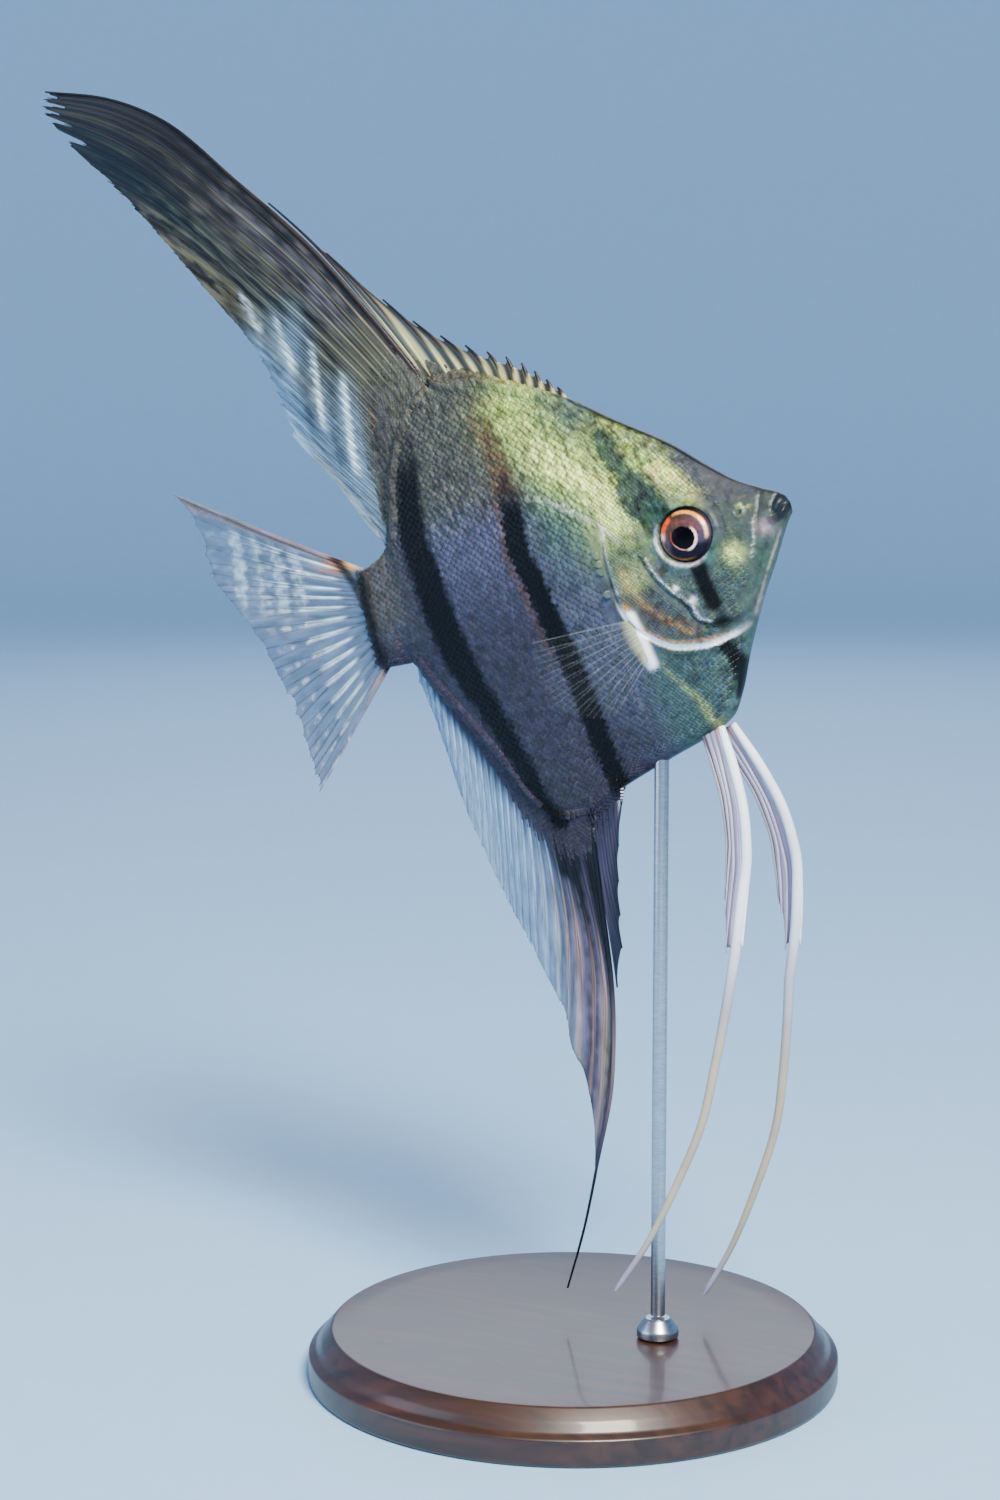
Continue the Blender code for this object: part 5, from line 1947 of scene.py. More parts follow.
@dataclass
class SpinyFin(RayedFin):
    """A fin with hard spines, joined by a notched membrane, before its soft rays."""

    spines: int = 2
    spine_roots: Path | None = None
    spine_tips: Path | None = None
    spine_points: int = 24
    spine_shape: tuple[float, float, float] = (0.42, 0.28, 1.3)
    sheet_rows: int = 24
    sheet_wave_mm: float = 0.12
    join: float = 0.80
    lead_share: float = 0.34
    curl_mm: float = -0.8
    spine_sink_mm: float = 0.9

    def spread(self, u: Array) -> Array:
        """Where on the line of tips the spine at u ends; each fin gives its own."""
        raise NotImplementedError

    def notch(self, u: Array, part: Array) -> Array:
        """How far out the membrane goes at u, part of the way to the next spine; each fin gives its own."""
        raise NotImplementedError

    def spine_marks(self, x: Array, z: Array, u: Array, v: Array) -> Masks:
        """Colour masks of the spiny part; each fin gives its own."""
        raise NotImplementedError

    def lone_marks(self, x: Array, z: Array, u: Array, v: Array) -> Masks:
        """Colour masks of the spines, which aren't see-through."""
        return {**self.spine_marks(x, z, u, v), "clear": np.zeros(v.shape)}

    def spiny_thickness(self, v: Array) -> Array:
        """Half thickness of the spiny part's membrane, which swells at its root."""
        return 0.13 + 0.32 * np.exp(-v / 0.10)

    def spiny_spot(self, u: Array, v: Array) -> tuple[Array, Array]:
        """x and z of the spiny part, from its first spine (u 0) to the soft part's leading ray (1).

        Args:
            u: Places across the fin, from 0 to 1.
            v: Places along its rays, from 0 to 1.

        Returns:
            Their x and z, in millimetres.
        """
        xr, zr = self.spine_roots.at(u)
        xt, zt = self.spine_tips.at(self.spread(u))
        xl, zl = self.leading.at(self.lead_share * v)
        share = smooth(self.join, 1.0, u)
        x = xr + (xt - xr) * v + self.curl_mm * np.sin(math.pi * v) * u
        z = zr + self.spine_sink_mm * (1 - np.maximum(v, 0)) ** 3 + (zt - zr) * v
        return x * (1 - share) + (xl + abs(self.curl_mm)) * share, z * (1 - share) + zl * share

    def build_sheet(self) -> bpy.types.Object:
        """Builds the membrane between the spines.

        Returns:
            The membrane.
        """
        u = np.linspace(0, 1, (self.spines - 1) * 8 + 1)
        part = u * (self.spines - 1) - np.floor(u * (self.spines - 1))
        uu, vv = np.meshgrid(u, np.linspace(0, 1, self.sheet_rows), indexing="ij")
        vv = vv * self.notch(u, part)[:, None]
        x, z = self.spiny_spot(uu, vv)
        y = FISH.sway(x, z) + self.sheet_wave_mm * np.cos(math.tau * uu * (self.spines - 1)) * vv
        half = self.spiny_thickness(vv)
        return slab(f"{self.name}_spiny_membrane", FISH.place(x, y - half, z, False),
                    FISH.place(x, y + half, z, False), self.spine_marks(x, z, uu, vv))

    def build(self) -> list[bpy.types.Object]:
        """Builds the soft part, then the spiny part's membrane and its spines.

        Returns:
            The pieces.
        """
        soft = super().build()
        finish = soft[0].data.materials[0]
        sheet = self.build_sheet()
        sheet.data.materials.append(finish)
        lines = Lines()
        thick, loss, power = self.spine_shape
        for k in range(self.spines):
            v = np.linspace(0, 1, self.spine_points)
            u = np.full(v.shape, k / (self.spines - 1))
            x, z = self.spiny_spot(u, v)
            lines.add(FISH.place(x, FISH.sway(x, z), z, False), thick - loss * v ** power,
                      self.lone_marks(x, z, u, v))
        self.pieces = soft + [sheet, lines.sweep(f"{self.name}_spines", finish, 8)]
        return self.pieces


@dataclass
class DorsalFin(SpinyFin):
    """Soft dorsal, swept back to a frayed tip, with the spiny part's free spines before it."""

    name: str = "dorsal"
    nodes: tuple[str, ...] = ("dorsal_fin_soft", "dorsal_fin_spiny")
    rays: int = 25
    roots: Path = outline(FISH.back, -16.1, -29.4)
    edge_points: Sequence[tuple[float, float, float]] = (
        (0, -68.0, 99.5), (.10, -69.4, 97.2), (.20, -69.0, 94.0), (.35, -61.0, 80.4), (.47, -52.5, 66.1),
        (.62, -43.6, 48.5), (.82, -42.6, 36.9), (.92, -36.7, 27.7), (1, -30.9, 17.0))
    leading: Path = Path(((-16.1, 36.6), (-22.4, 49.8), (-29.0, 62.2), (-38.8, 76.2), (-47.5, 88.0),
                          (-56.5, 94.6), (-68.0, 99.5)))
    scallop_mm: float = 1.6
    wave_mm: float = 0.8
    clear_alpha: float = 0.45
    ground: str = "#4A4C3F"
    tears: Sequence[tuple[float, float, float]] = (
        (0.026, 0.010, 0.035), (0.066, 0.010, 0.060), (0.108, 0.010, 0.045), (0.155, 0.011, 0.070),
        (0.215, 0.012, 0.085))
    spines: int = 12
    spine_roots: Path = outline(FISH.back, 6.6, -15.6)
    spine_points: int = 20
    spine_shape: tuple[float, float, float] = (0.34, 0.20, 2.5)
    sheet_rows: int = 16
    sheet_wave_mm: float = 0.10
    join: float = 0.86
    lead_share: float = 0.46
    curl_mm: float = 0.9
    spine_sink_mm: float = -0.9
    spine_tips: Path = Path(((5.6, 29.8), (0.4, 35.3), (-7.3, 39.9), (-13.6, 44.6), (-20.4, 52.2),
                             (-28.4, 62.8)))
    bars: tuple[tuple[Path, float, float], ...] = (
        (Path(((-44.4, 60.0), (-43.3, 56.0), (-42.0, 51.6))), 0.45, 0.45),
        (Path(((-39.3, 54.5), (-38.7, 49.5), (-37.8, 43.8))), 0.55, 0.60),
        (Path(((-33.8, 49.0), (-34.8, 41.5), (-35.3, 33.4))), 0.55, 0.75),
        (Path(((-29.6, 42.6), (-31.0, 34.0), (-31.7, 25.2))), 0.70, 0.90))
    amber_bar: Path = Path(((-26.0, 34.5), (-26.8, 29.0), (-27.2, 23.0)))

    def marks(self, x: Array, z: Array, u: Array, v: Array) -> Masks:
        """Olive and navy streaks crossed by pale blue bars, black at the tip, clear behind.

        Args:
            x: The points' x in the fish's frame, in millimetres.
            z: Their z.
            u: Their places across the fin, from 0 to 1.
            v: Their places along its rays, from 0 to 1.

        Returns:
            The share of each wash, from 0 to 1, by its name.
        """
        gap, t, _ = self.leading.near(x, z, margin=40.0)
        ripple = wobble(x, z, 3.0)
        beat = beats(u, self.rays - 1)
        fine = beats(u, (self.rays - 1) / 2, 1.3 * ripple)
        far = smooth(-34.0, -42.0, x - 0.35 * (z - 40)) * smooth(58.0, 47.0, z)
        low = smooth(-26.0, -31.0, x) * smooth(46.0, 34.0, z)
        clear = np.maximum(far, 0.85 * low)
        made: Masks = {}
        made["olive"] = np.clip(0.95 * smooth(0.26, 0.10, v) * smooth(14, 24, z)
                                + 0.55 * smooth(0.35, 0.85, 0.6 * beat + 0.4 * fine), 0, 1)
        made["olive"] *= 1 - 0.9 * clear
        made["navy"] = np.clip(0.12 * smooth(0.6, 0.2, beat) + 0.08 * ripple, 0, 1) * (1 - clear) \
            * smooth(0.1, 0.2, v)
        made["plum"] = 0.40 * bump(gap, 4.0, 3.0) * smooth(0.02, 0.2, t) * smooth(0.85, 0.5, t)
        made["lilac"] = 0.20 * bump(gap, 4.6, 1.2) * smooth(0.1, 0.25, t) * smooth(0.7, 0.4, t) * beat
        made["blue"] = 0.55 * far + 0.45 * low
        streak = smooth(-0.1, 0.5, wobble(30 * u, 0.16 * v * 60, 1.6, 0.3))
        made["ink"] = np.clip(0.80 * smooth(66, 88, z + 6 * ripple) + 0.45 * smooth(2.2, 0.2, gap)
                              + (0.60 * smooth(0.55, 0.1, fine) + 0.45 * streak) * smooth(0.10, 0.3, v)
                              * (1 - 0.85 * clear) + 0.30 * smooth(0.4, 0.0, beat) * (1 - clear), 0, 0.95)
        made["brown"] = np.clip(0.90 * smooth(1.1, 0.4, gap) + 0.3 * streak * (1 - clear), 0, 1)
        made["rose"] = 0.30 * bump(gap, 1.5, 0.35) * smooth(0.9, 0.6, t)
        pale = np.zeros(x.shape)
        between = np.zeros(x.shape)
        rag = 0.45 * wobble(x, z, 1.3, 0.4)
        for path, wide, strength in self.bars:
            gap_bar, t_bar, side = path.near(x, z)
            ends = smooth(0.0, 0.16, t_bar) * smooth(1.0, 0.80, t_bar)
            edge = smooth(wide + 0.35 + rag, wide - 0.55 + rag, np.abs(side))
            pale = np.maximum(pale, strength * edge * ends)
            between = np.maximum(between, 0.80 * flat(side, -2.3, 1.2) * ends * (gap_bar < 5))
        made["pale"] = pale * (0.50 + 0.50 * smooth(0.25, 0.75, beat))
        made["ink"] = np.maximum(made["ink"], between * (0.7 + 0.3 * ripple) * (1 - pale))
        gap_amber, _, _ = self.amber_bar.near(x, z)
        made["amber"] = 0.85 * smooth(1.0, 0.35, gap_amber) * (0.45 + 0.55 * beat)
        made["clear"] = np.clip(0.85 * clear, 0, 0.95) \
            * smooth(0.02, 0.2, v) * (1 - 0.45 * pale) * (1 - 0.8 * made["ink"])
        return made

    def spine_marks(self, x: Array, z: Array, u: Array, v: Array) -> Masks:
        """Cream and lilac streaks, with red-brown tips.

        Args:
            x: The points' x in the fish's frame, in millimetres.
            z: Their z; not used.
            u: Their places across the fin, from 0 to 1.
            v: Their places along its rays, from 0 to 1.

        Returns:
            The masks by name.
        """
        made = {name: np.zeros(x.shape) for name in FIN_MASKS}
        beat = beats(u, self.spines - 1, 0.8)
        made["slate"] = 0.30 * smooth(0.3, 0.9, u)
        made["cream"] = 0.80 * smooth(0.25, 0.85, beat) * smooth(0.02, 0.15, v) * (1 - 0.25 * u)
        made["olive"] = 0.85 * smooth(0.30, 0.02, v)
        made["brown"] = 0.95 * smooth(0.55, 0.85, v)
        made["ink"] = np.maximum(0.90 * smooth(0.70, 0.92, v), 0.70 * smooth(0.35, 0.0, beat))
        made["clear"] = 0.25 * smooth(0.2, 0.8, v)
        made["across"] = u * self.spines * 2.0
        made["along"] = v * 14.0
        return made

    def lone_marks(self, x: Array, z: Array, u: Array, v: Array) -> Masks:
        """Cream spines that turn brown and black towards their tips."""
        return {**super().lone_marks(x, z, u, v), "cream": 0.55 * smooth(0.55, 0.2, v),
                "brown": smooth(0.30, 0.60, v), "ink": 0.92 * smooth(0.50, 0.80, v)}

    def spread(self, u: Array) -> Array:
        """Where on the line of tips the spine at u ends: the front spines stand close together."""
        return 0.5 * u + 0.5 * u ** 3

    def notch(self, u: Array, part: Array) -> Array:
        """How far out the membrane goes at u: it leaves the spines free, and falls off behind each."""
        low = 0.46 + 0.42 * u
        return np.where(part > 0, 1 - (1 - low) * np.clip(part / 0.35, 0, 1) ** 0.6, 0.97)


@dataclass
class AnalFin(SpinyFin):
    """Soft anal fin, whose first ray runs on as a dark filament, with the short spiny lobe before it."""

    name: str = "anal"
    nodes: tuple[str, ...] = ("anal_fin_soft", "anal_fin_spiny")
    rays: int = 25
    roots: Path = outline(FISH.belly, -7.2, -29.5)
    edge_points: Sequence[tuple[float, float, float]] = (
        (0, -34.0, -104.5), (.06, -23.2, -87.2), (.10, -20.8, -79.0), (.15, -19.8, -71.5),
        (.18, -20.6, -67.6), (.22, -20.0, -63.0), (.32, -21.9, -53.6), (.50, -25.0, -43.6),
        (.65, -26.4, -35.0), (.80, -28.2, -25.0), (.92, -29.4, -14.5), (1, -30.4, -7.2))
    leading: Path = Path(((-7.2, -33.9), (-9.0, -46.0), (-11.0, -59.5), (-15.3, -73.7), (-22.2, -86.3),
                          (-28.0, -96.0), (-34.0, -104.5)))
    bow_power: float = 6.0
    scallop_mm: float = 0.9
    wave_mm: float = 0.5
    clear_alpha: float = 0.50
    seed: int = 11
    ground: str = "#3E4056"
    spines: int = 6
    spine_roots: Path = outline(FISH.belly, -0.7, -6.9)
    spine_tips: Path = Path(((-1.6, -33.0), (-4.2, -40.0), (-6.4, -48.5), (-8.7, -58.8)))
    bar_end: Path = Path(((-13.6, -29.0), (-12.6, -35.0), (-12.8, -40.0)))

    def marks(self, x: Array, z: Array, u: Array, v: Array) -> Masks:
        """Pink-grey and violet streaks in front, clear blue behind, dark at root and filament.

        Args:
            x: The points' x in the fish's frame, in millimetres.
            z: Their z.
            u: Their places across the fin, from 0 to 1.
            v: Their places along its rays, from 0 to 1.

        Returns:
            The share of each wash, from 0 to 1, by its name.
        """
        gap, _, _ = self.leading.near(x, z, margin=40.0)
        ripple = wobble(x, z, 3.2, 0.7)
        beat = beats(u, self.rays - 1)
        fine = beats(u, (self.rays - 1) / 2, 1.2 * ripple)
        out = smooth(0.36, 0.12, v) * smooth(0.0, 0.2, 1 - u) + smooth(0.12, 0.03, v)
        front = smooth(10.0, 3.0, gap) * smooth(-34, -46, z)
        rear = smooth(-15.0, -23.0, x - 0.10 * (z + 45)) * smooth(0.15, 0.35, v)
        gap_bar, _, _ = self.bar_end.near(x, z)
        made: Masks = {}
        made["navy"] = np.clip(0.95 * out + 0.45 * smooth(0.55, 0.1, beat) * (1 - 0.7 * rear)
                               + 0.2 * ripple, 0, 1)
        made["plum"] = front * 0.80
        made["lilac"] = front * 0.12 * smooth(0.4, 0.9, fine) * (1 - 0.7 * np.clip(out, 0, 1))
        made["blue"] = np.clip(0.60 * smooth(4.0, 10.0, gap) * (0.35 + 0.65 * smooth(0.4, 0.9, beat))
                               * smooth(0.12, 0.35, v) + 0.25 * rear, 0, 1)
        made["rose"] = 0.55 * smooth(12.0, 5.0, gap) * smooth(0.6, 0.95, beat) * smooth(-88, -66, z) \
            * smooth(0.25, 0.5, v)
        made["cream"] = 0.20 * bump(gap, 1.6, 0.8) * smooth(-88, -66, z) * smooth(-55, -64, z)
        made["ink"] = np.clip(0.95 * smooth(-80, -95, z) + 0.90 * smooth(2.8, 0.8, gap_bar)
                              + 0.35 * smooth(0.5, 0.1, beat) * smooth(0.5, 0.1, v)
                              + 0.45 * smooth(0.5, 0.15, fine) * front
                              + 0.55 * smooth(0.55, 0.25, v) * smooth(9.0, 4.0, gap)
                              + 0.45 * smooth(1.6, 0.4, gap), 0, 1)
        made["clear"] = np.clip(0.10 + 0.75 * rear + 0.25 * smooth(0.6, 1.0, v), 0, 0.95) \
            * smooth(0.08, 0.3, v) * (1 - 0.8 * front) * (1 - made["ink"])
        return made

    def spine_marks(self, x: Array, z: Array, u: Array, v: Array) -> Masks:
        """Lilac-grey, with pearly beads down the front and a purple-blue tip.

        Args:
            x: The points' x in the fish's frame, in millimetres.
            z: Their z; not used.
            u: Their places across the fin, from 0 to 1.
            v: Their places along its rays, from 0 to 1.

        Returns:
            The masks by name.
        """
        made = {name: np.zeros(x.shape) for name in FIN_MASKS}
        beads = smooth(0.0, 0.7, np.sin(v * 46))
        made["navy"] = 0.95 - 0.35 * bump(v, 0.45, 0.2)
        made["plum"] = 0.55 * bump(v, 0.5, 0.35)
        made["ink"] = 0.45 + 0.25 * smooth(0.5, 0.95, v)
        made["white"] = 0.85 * smooth(0.16, 0.02, u) * beads * smooth(0.80, 0.45, v)
        made["clear"] = 0.08 * smooth(0.1, 0.8, v)
        made["across"] = u * self.spines * 2.0
        made["along"] = v * 20.0
        return made

    def spread(self, u: Array) -> Array:
        """Where on the line of tips the spine at u ends."""
        return u ** 0.9

    def notch(self, u: Array, part: Array) -> Array:
        """How far out the membrane goes at u: nearly to the tips."""
        return 1 - 0.07 * np.sin(math.pi * part) ** 0.7


@dataclass
class CaudalFin(RayedFin):
    """Tail fan with a drawn-out upper corner and rows of pale dots and dashes."""

    name: str = "caudal"
    nodes: tuple[str, ...] = ("caudal_fin",)
    rays: int = 15
    roots: Path = Path(((-34.9, 11.7), (-34.9, -3.4)))
    edge_points: Sequence[tuple[float, float, float]] = (
        (0, -68.8, 32.8), (.08, -66.0, 26.6), (.20, -65.2, 18.5), (.32, -61.8, 13.0), (.50, -57.2, 3.5),
        (.68, -55.6, -5.0), (.86, -54.9, -14.0), (1, -54.5, -19.8))
    scallop_mm: float = 1.0
    wave_mm: float = 0.7
    waves: float = 1.3
    seed: int = 5
    ground: str = "#6C8098"
    sink_mm: float = 1.0
    per_ray: int = 8
    fork: float = 0.30
    fork_spread: float = 0.30

    def marks(self, x: Array, z: Array, u: Array, v: Array) -> Masks:
        """Navy root arc, white dashes along the rays, dusty rose upper edge.

        Args:
            x: The points' x in the fish's frame, in millimetres.
            z: Their z.
            u: Their places across the fin, from 0 to 1.
            v: Their places along its rays, from 0 to 1; not used.

        Returns:
            The share of each wash, from 0 to 1, by its name.
        """
        back = -x
        ripple = wobble(x, z, 2.4, 1.9)
        beat = beats(u, self.rays - 1)
        top = smooth(0.045, 0.015, u)
        made: Masks = {}
        made["slate"] = np.full(x.shape, 0.65)
        made["blue"] = np.clip(0.50 * smooth(0.50, 0.25, u) * smooth(0.2, 0.7, ripple)
                               * smooth(48, 52, back), 0, 1)
        arc = 34.3 + 0.020 * z ** 2 * (z > 0)
        made["ink"] = 0.95 * np.exp(-((back - arc - 0.9) / 0.95) ** 4)
        end = 48.0 - 1.2 * ripple - 0.10 * np.abs(z - 6)
        dash = smooth(39.6, 41.6, back) * smooth(end + 0.8, end - 2.2, back) \
            * smooth(0.0, 0.10, u) * smooth(1.0, 0.85, u)
        rows = np.maximum(bump(back, end + 0.3, 0.7), np.maximum(0.75 * bump(back, end + 4.0, 0.65),
                                                                 0.45 * bump(back, end + 7.0, 0.6)))
        bands = sum(bump(back, end + step, 0.9) for step in (0.5, 4.4, 8.3, 12.2))
        made["pale"] = np.clip(dash * smooth(0.55, 0.95, beat) * 0.62
                               + 0.50 * bands * smooth(0.45, 0.25, u) * smooth(0.02, 0.06, u), 0, 1)
        made["white"] = (0.18 * dash + 0.62 * rows) * smooth(0.70, 0.98, beat) * smooth(0.02, 0.12, u)
        gold = np.hypot((x + 39.0 + 0.9 * (z - 13.9)) / 3.6, (z - 13.9) / 1.5)
        made["amber"] = 0.92 * np.exp(-gold ** 2)
        made["cream"] = 0.85 * np.exp(-(np.hypot((x + 37.2) / 1.5, (z - 13.2) / 0.8)) ** 2)
        made["rose"] = np.clip(0.55 * top * smooth(38, 45, back)
                               + 0.75 * smooth(0.90, 0.98, u) * smooth(43, 37, back),
                               0, 1)
        made["brown"] = 0.35 * smooth(0.05, 0.0, u) * smooth(42, 48, back)
        made["lilac"] = 0.45 * smooth(0.96, 1.0, u)
        solid = np.maximum.reduce([made["ink"], made["white"], 0.8 * made["pale"], made["amber"], 0.6 * top])
        made["clear"] = np.clip(0.75 + 0.25 * smooth(50, 62, back), 0, 1) * smooth(34.2, 35.4, back) \
            * (1 - 0.9 * solid)
        return made


@dataclass
class PectoralFin(RayedFin):
    """Clear fan standing out from the flank behind the gill cover."""

    rays: int = 11
    roots: Path = Path(((10.6, -6.8), (11.4, -13.2)))
    edge_points: Sequence[tuple[float, float, float]] = ()
    rows: int = 36
    thick_root: float = 0.5
    thick_tip: float = 0.08
    ray_root: float = 0.12
    ray_tip: float = 0.04
    lead_root: float = 0.20
    lead_tip: float = 0.06
    scallop_mm: float = 0.4
    sink_mm: float = 0.3
    corrugation_mm: float = 0.04
    clear_alpha: float = 0.008
    side: Side = Side.RIGHT
    length: float = 17.5
    fan: tuple[float, float] = (math.radians(-2), math.radians(46))
    flare: float = 0.30
    clear_of_scales: float = 0.6

    def tip(self, u: Array) -> tuple[Array, Array]:
        """Point of the rounded outer edge at each share across the fan.

        Args:
            u: Places across the fin, from 0 to 1.

        Returns:
            Their x and z, in millimetres.
        """
        x, z = self.roots.at(u)
        turn = self.fan[0] + (self.fan[1] - self.fan[0]) * u
        reach = self.length * (0.80 + 0.50 * u - 0.78 * u * u)
        return x - reach * np.cos(turn), z - reach * np.sin(turn)

    def middle(self, x: Array, z: Array, u: Array, v: Array) -> Array:
        """y of the fan, which leaves the flank at its root and flares out backwards.

        Args:
            x: The points' x in the fish's frame, in millimetres.
            z: Their z.
            u: Their places across the fin, from 0 to 1.
            v: Their places along its rays, from 0 to 1.

        Returns:
            The fan's y at each point.
        """
        x_root, z_root = self.roots.at(u)
        root = FISH.flank(x_root, z_root)
        skin = np.maximum(FISH.flank(x, z), root) + FISH.coat_depth + self.clear_of_scales
        start = root + 0.35
        share = smooth(0.0, 0.22, v)
        out = start * (1 - share) + skin * share + self.flare * np.maximum(0.0, x_root - x)
        wave = 0.35 * smooth(0.2, 1.0, v) * np.sin(math.tau * 1.6 * u + 2.0 * v)
        return self.side.value * (out + wave)

    def marks(self, x: Array, z: Array, u: Array, v: Array) -> Masks:
        """Nearly clear, with faint pale rays and a yellowish root."""
        return {"white": 0.10 + 0 * v, "cream": 0.45 * smooth(0.18, 0.0, v),
                "clear": smooth(0.0, 0.14, v) + 0 * u}

    def ray_marks(self, u: Array, v: Array) -> Masks:
        """Faint pale rays, clearer towards the edge.

        Args:
            u: Places across the fin, from 0 to 1.
            v: Places along its rays, from 0 to 1.

        Returns:
            The masks by name.
        """
        made = super().ray_marks(u, v)
        made["clear"] = np.full(v.shape, 0.972)
        made["white"] = np.full(v.shape, 0.9)
        return made


@dataclass
class PelvicFin(RayedFin):
    """Blade of a pelvic fin with its brilliant white first ray, which runs on as a long feeler."""

    rays: int = 5
    roots: Path = Path(((18.8, -26.2), (15.5, -27.1)))
    edge_points: Sequence[tuple[float, float, float]] = (
        (0, 15.9, -57.2), (.50, 13.3, -57.2), (.62, 13.9, -53.6), (1, 14.4, -50.0))
    leading: Path = Path(((18.8, -25.9), (19.9, -32.5), (20.4, -37.0), (19.9, -44.0), (18.2, -50.0),
                          (15.9, -57.2)))
    per_ray: int = 10
    rows: int = 44
    thick_root: float = 0.9
    thick_tip: float = 0.22
    scallop_mm: float = 1.4
    slot: str = "feeler"
    clear_alpha: float = 0.6
    ground: str = "#B4B2C6"
    streak: float = 0.15
    ray_sides: int = 12
    side: Side = Side.RIGHT
    forward: float = 0.0
    swing: float = 0.0
    longer: float = 1.0
    splay_points: Pairs = ((-115.0, 12.9), (-110.0, 12.5), (-82.0, 11.0), (-58.0, 8.4), (-40.0, 5.0),
                           (-25.0, 1.9))
    ray_path: Path = Path(((18.6, -25.2), (19.6, -32.5), (19.9, -37.0), (19.2, -44.0), (17.3, -50.0),
                           (14.7, -57.3), (10.9, -66.3), (7.5, -73.5), (3.9, -80.4), (-3.4, -89.8),
                           (-9.6, -96.6), (-16.7, -102.8)))

    def moved(self, x: Array, z: Array) -> tuple[Array, Array]:
        """This side's place of a point of the blade or feeler.

        Args:
            x: The points' x in the fish's frame, in millimetres.
            z: Their z.

        Returns:
            Their x and z, in millimetres.
        """
        down = np.maximum(0.0, -25.0 - z)
        return (x + self.forward * np.sin(math.pi * np.minimum(1.0, down / 36.0)) + self.swing * down,
                z + (1 - self.longer) * down)

    def spot(self, u: Array, v: Array) -> tuple[Array, Array]:
        """x and z of the blade, whose rays all bend partly as the first does.

        Args:
            u: Places across the fin, from 0 to 1.
            v: Places along its rays, from 0 to 1.

        Returns:
            Their x and z, in millimetres.
        """
        xr, zr = self.roots.at(u)
        xt, zt = self.tip(u)
        away = np.hypot(xt - xr, zt - zr)
        sunk = self.sink_mm * (1 - v) ** 3 / away
        lead_x, lead_z = self.leading.at(v)
        (x0, z0), (x1, z1) = self.leading.points[0], self.leading.points[-1]
        share = 1 - 0.42 * u
        return self.moved(xr + (xt - xr) * (v - sunk) + share * (lead_x - x0 - (x1 - x0) * v),
                          zr + (zt - zr) * (v - sunk) + share * (lead_z - z0 - (z1 - z0) * v))

    def splay(self, z: Array) -> Array:
        """How far the blade and feeler stand out from the middle at each height."""
        return along_x(self.splay_points, z)

    def middle(self, x: Array, z: Array, u: Array, v: Array) -> Array:
        """y of the blade."""
        return self.side.value * (self.splay(z) + 0.35 * np.sin(4.5 * u) * smooth(0.1, 0.9, v))

    def marks(self, x: Array, z: Array, u: Array, v: Array) -> Masks:
        """White front ray, lilac-brown membranes, dark ragged rear edge.

        Args:
            x: The points' x in the fish's frame, in millimetres; not used.
            z: Their z; not used.
            u: Their places across the fin, from 0 to 1.
            v: Their places along its rays, from 0 to 1.

        Returns:
            The share of each wash, from 0 to 1, by its name.
        """
        made: Masks = {}
        beat = beats(u, self.rays - 1)
        made["lilac"] = 0.95 * smooth(0.0, 0.15, u) + 0 * v
        made["plum"] = 0.45 * smooth(0.15, 0.5, u) * (0.6 + 0.4 * np.sin(7 * v + 3 * u))
        made["brown"] = np.clip(0.80 * smooth(0.80, 0.98, u)
                                + 0.50 * smooth(0.5, 0.1, beat) * smooth(0.2, 0.4, u)
                                + 0.30 * smooth(0.85, 1.0, v), 0, 1)
        made["amber"] = 0.55 * smooth(0.10, 0.0, v) * smooth(0.5, 0.2, u)
        made["white"] = np.clip(0.75 * smooth(0.22, 0.08, u) + 0.25 * smooth(0.7, 0.98, beat), 0, 1) \
            * smooth(0.0, 0.08, v)
        made["clear"] = 0.35 * smooth(0.3, 0.7, u) * smooth(0.1, 0.5, v)
        return made

    def build_rays(self, lines: Lines) -> None:
        """Adds the thick first ray with its feeler, and the slim rays behind it.

        Args:
            lines: Gathers the rays' guide lines.
        """
        sign = self.side.value
        share = np.linspace(0, 1, 150)
        x, z = self.moved(*self.ray_path.at(share))
        gone = np.concatenate([[0.0], np.cumsum(np.hypot(np.diff(x), np.diff(z)))])
        radius = np.interp(share, (0.0, 0.05, 0.20, 0.38, 0.60, 0.80, 0.985, 1.0),
                           (0.55, 0.72, 0.78, 0.80, 0.68, 0.58, 0.42, 0.24))
        made = {name: np.zeros(x.shape) for name in FIN_MASKS}
        made["lilac"] = 0.60 * smooth(0.20, 0.42, share)
        made["cream"] = 0.60 * smooth(0.40, 0.60, share) * smooth(0.97, 0.85, share)
        made["brown"] = 0.34 * smooth(0.36, 0.55, share) * smooth(0.99, 0.88, share)
        made["amber"] = 0.22 * bump(share, 0.68, 0.16)
        made["slate"] = 0.60 * smooth(0.86, 0.97, share)
        made["white"] = np.clip(0.90 - 0.80 * smooth(0.22, 0.50, share), 0, 1)
        made["amber"] += 0.5 * smooth(0.035, 0.0, share)
        made["across"], made["along"] = np.zeros(x.shape), gone
        lines.add(FISH.place(x, sign * self.splay(z), z, False), radius, made)
        for k in range(1, self.rays):
            v = np.linspace(0, 0.99, 30)
            u = np.full(v.shape, k / (self.rays - 1))
            lines.add(self.line(u, v), 0.34 - 0.18 * v, self.ray_marks(u, v))


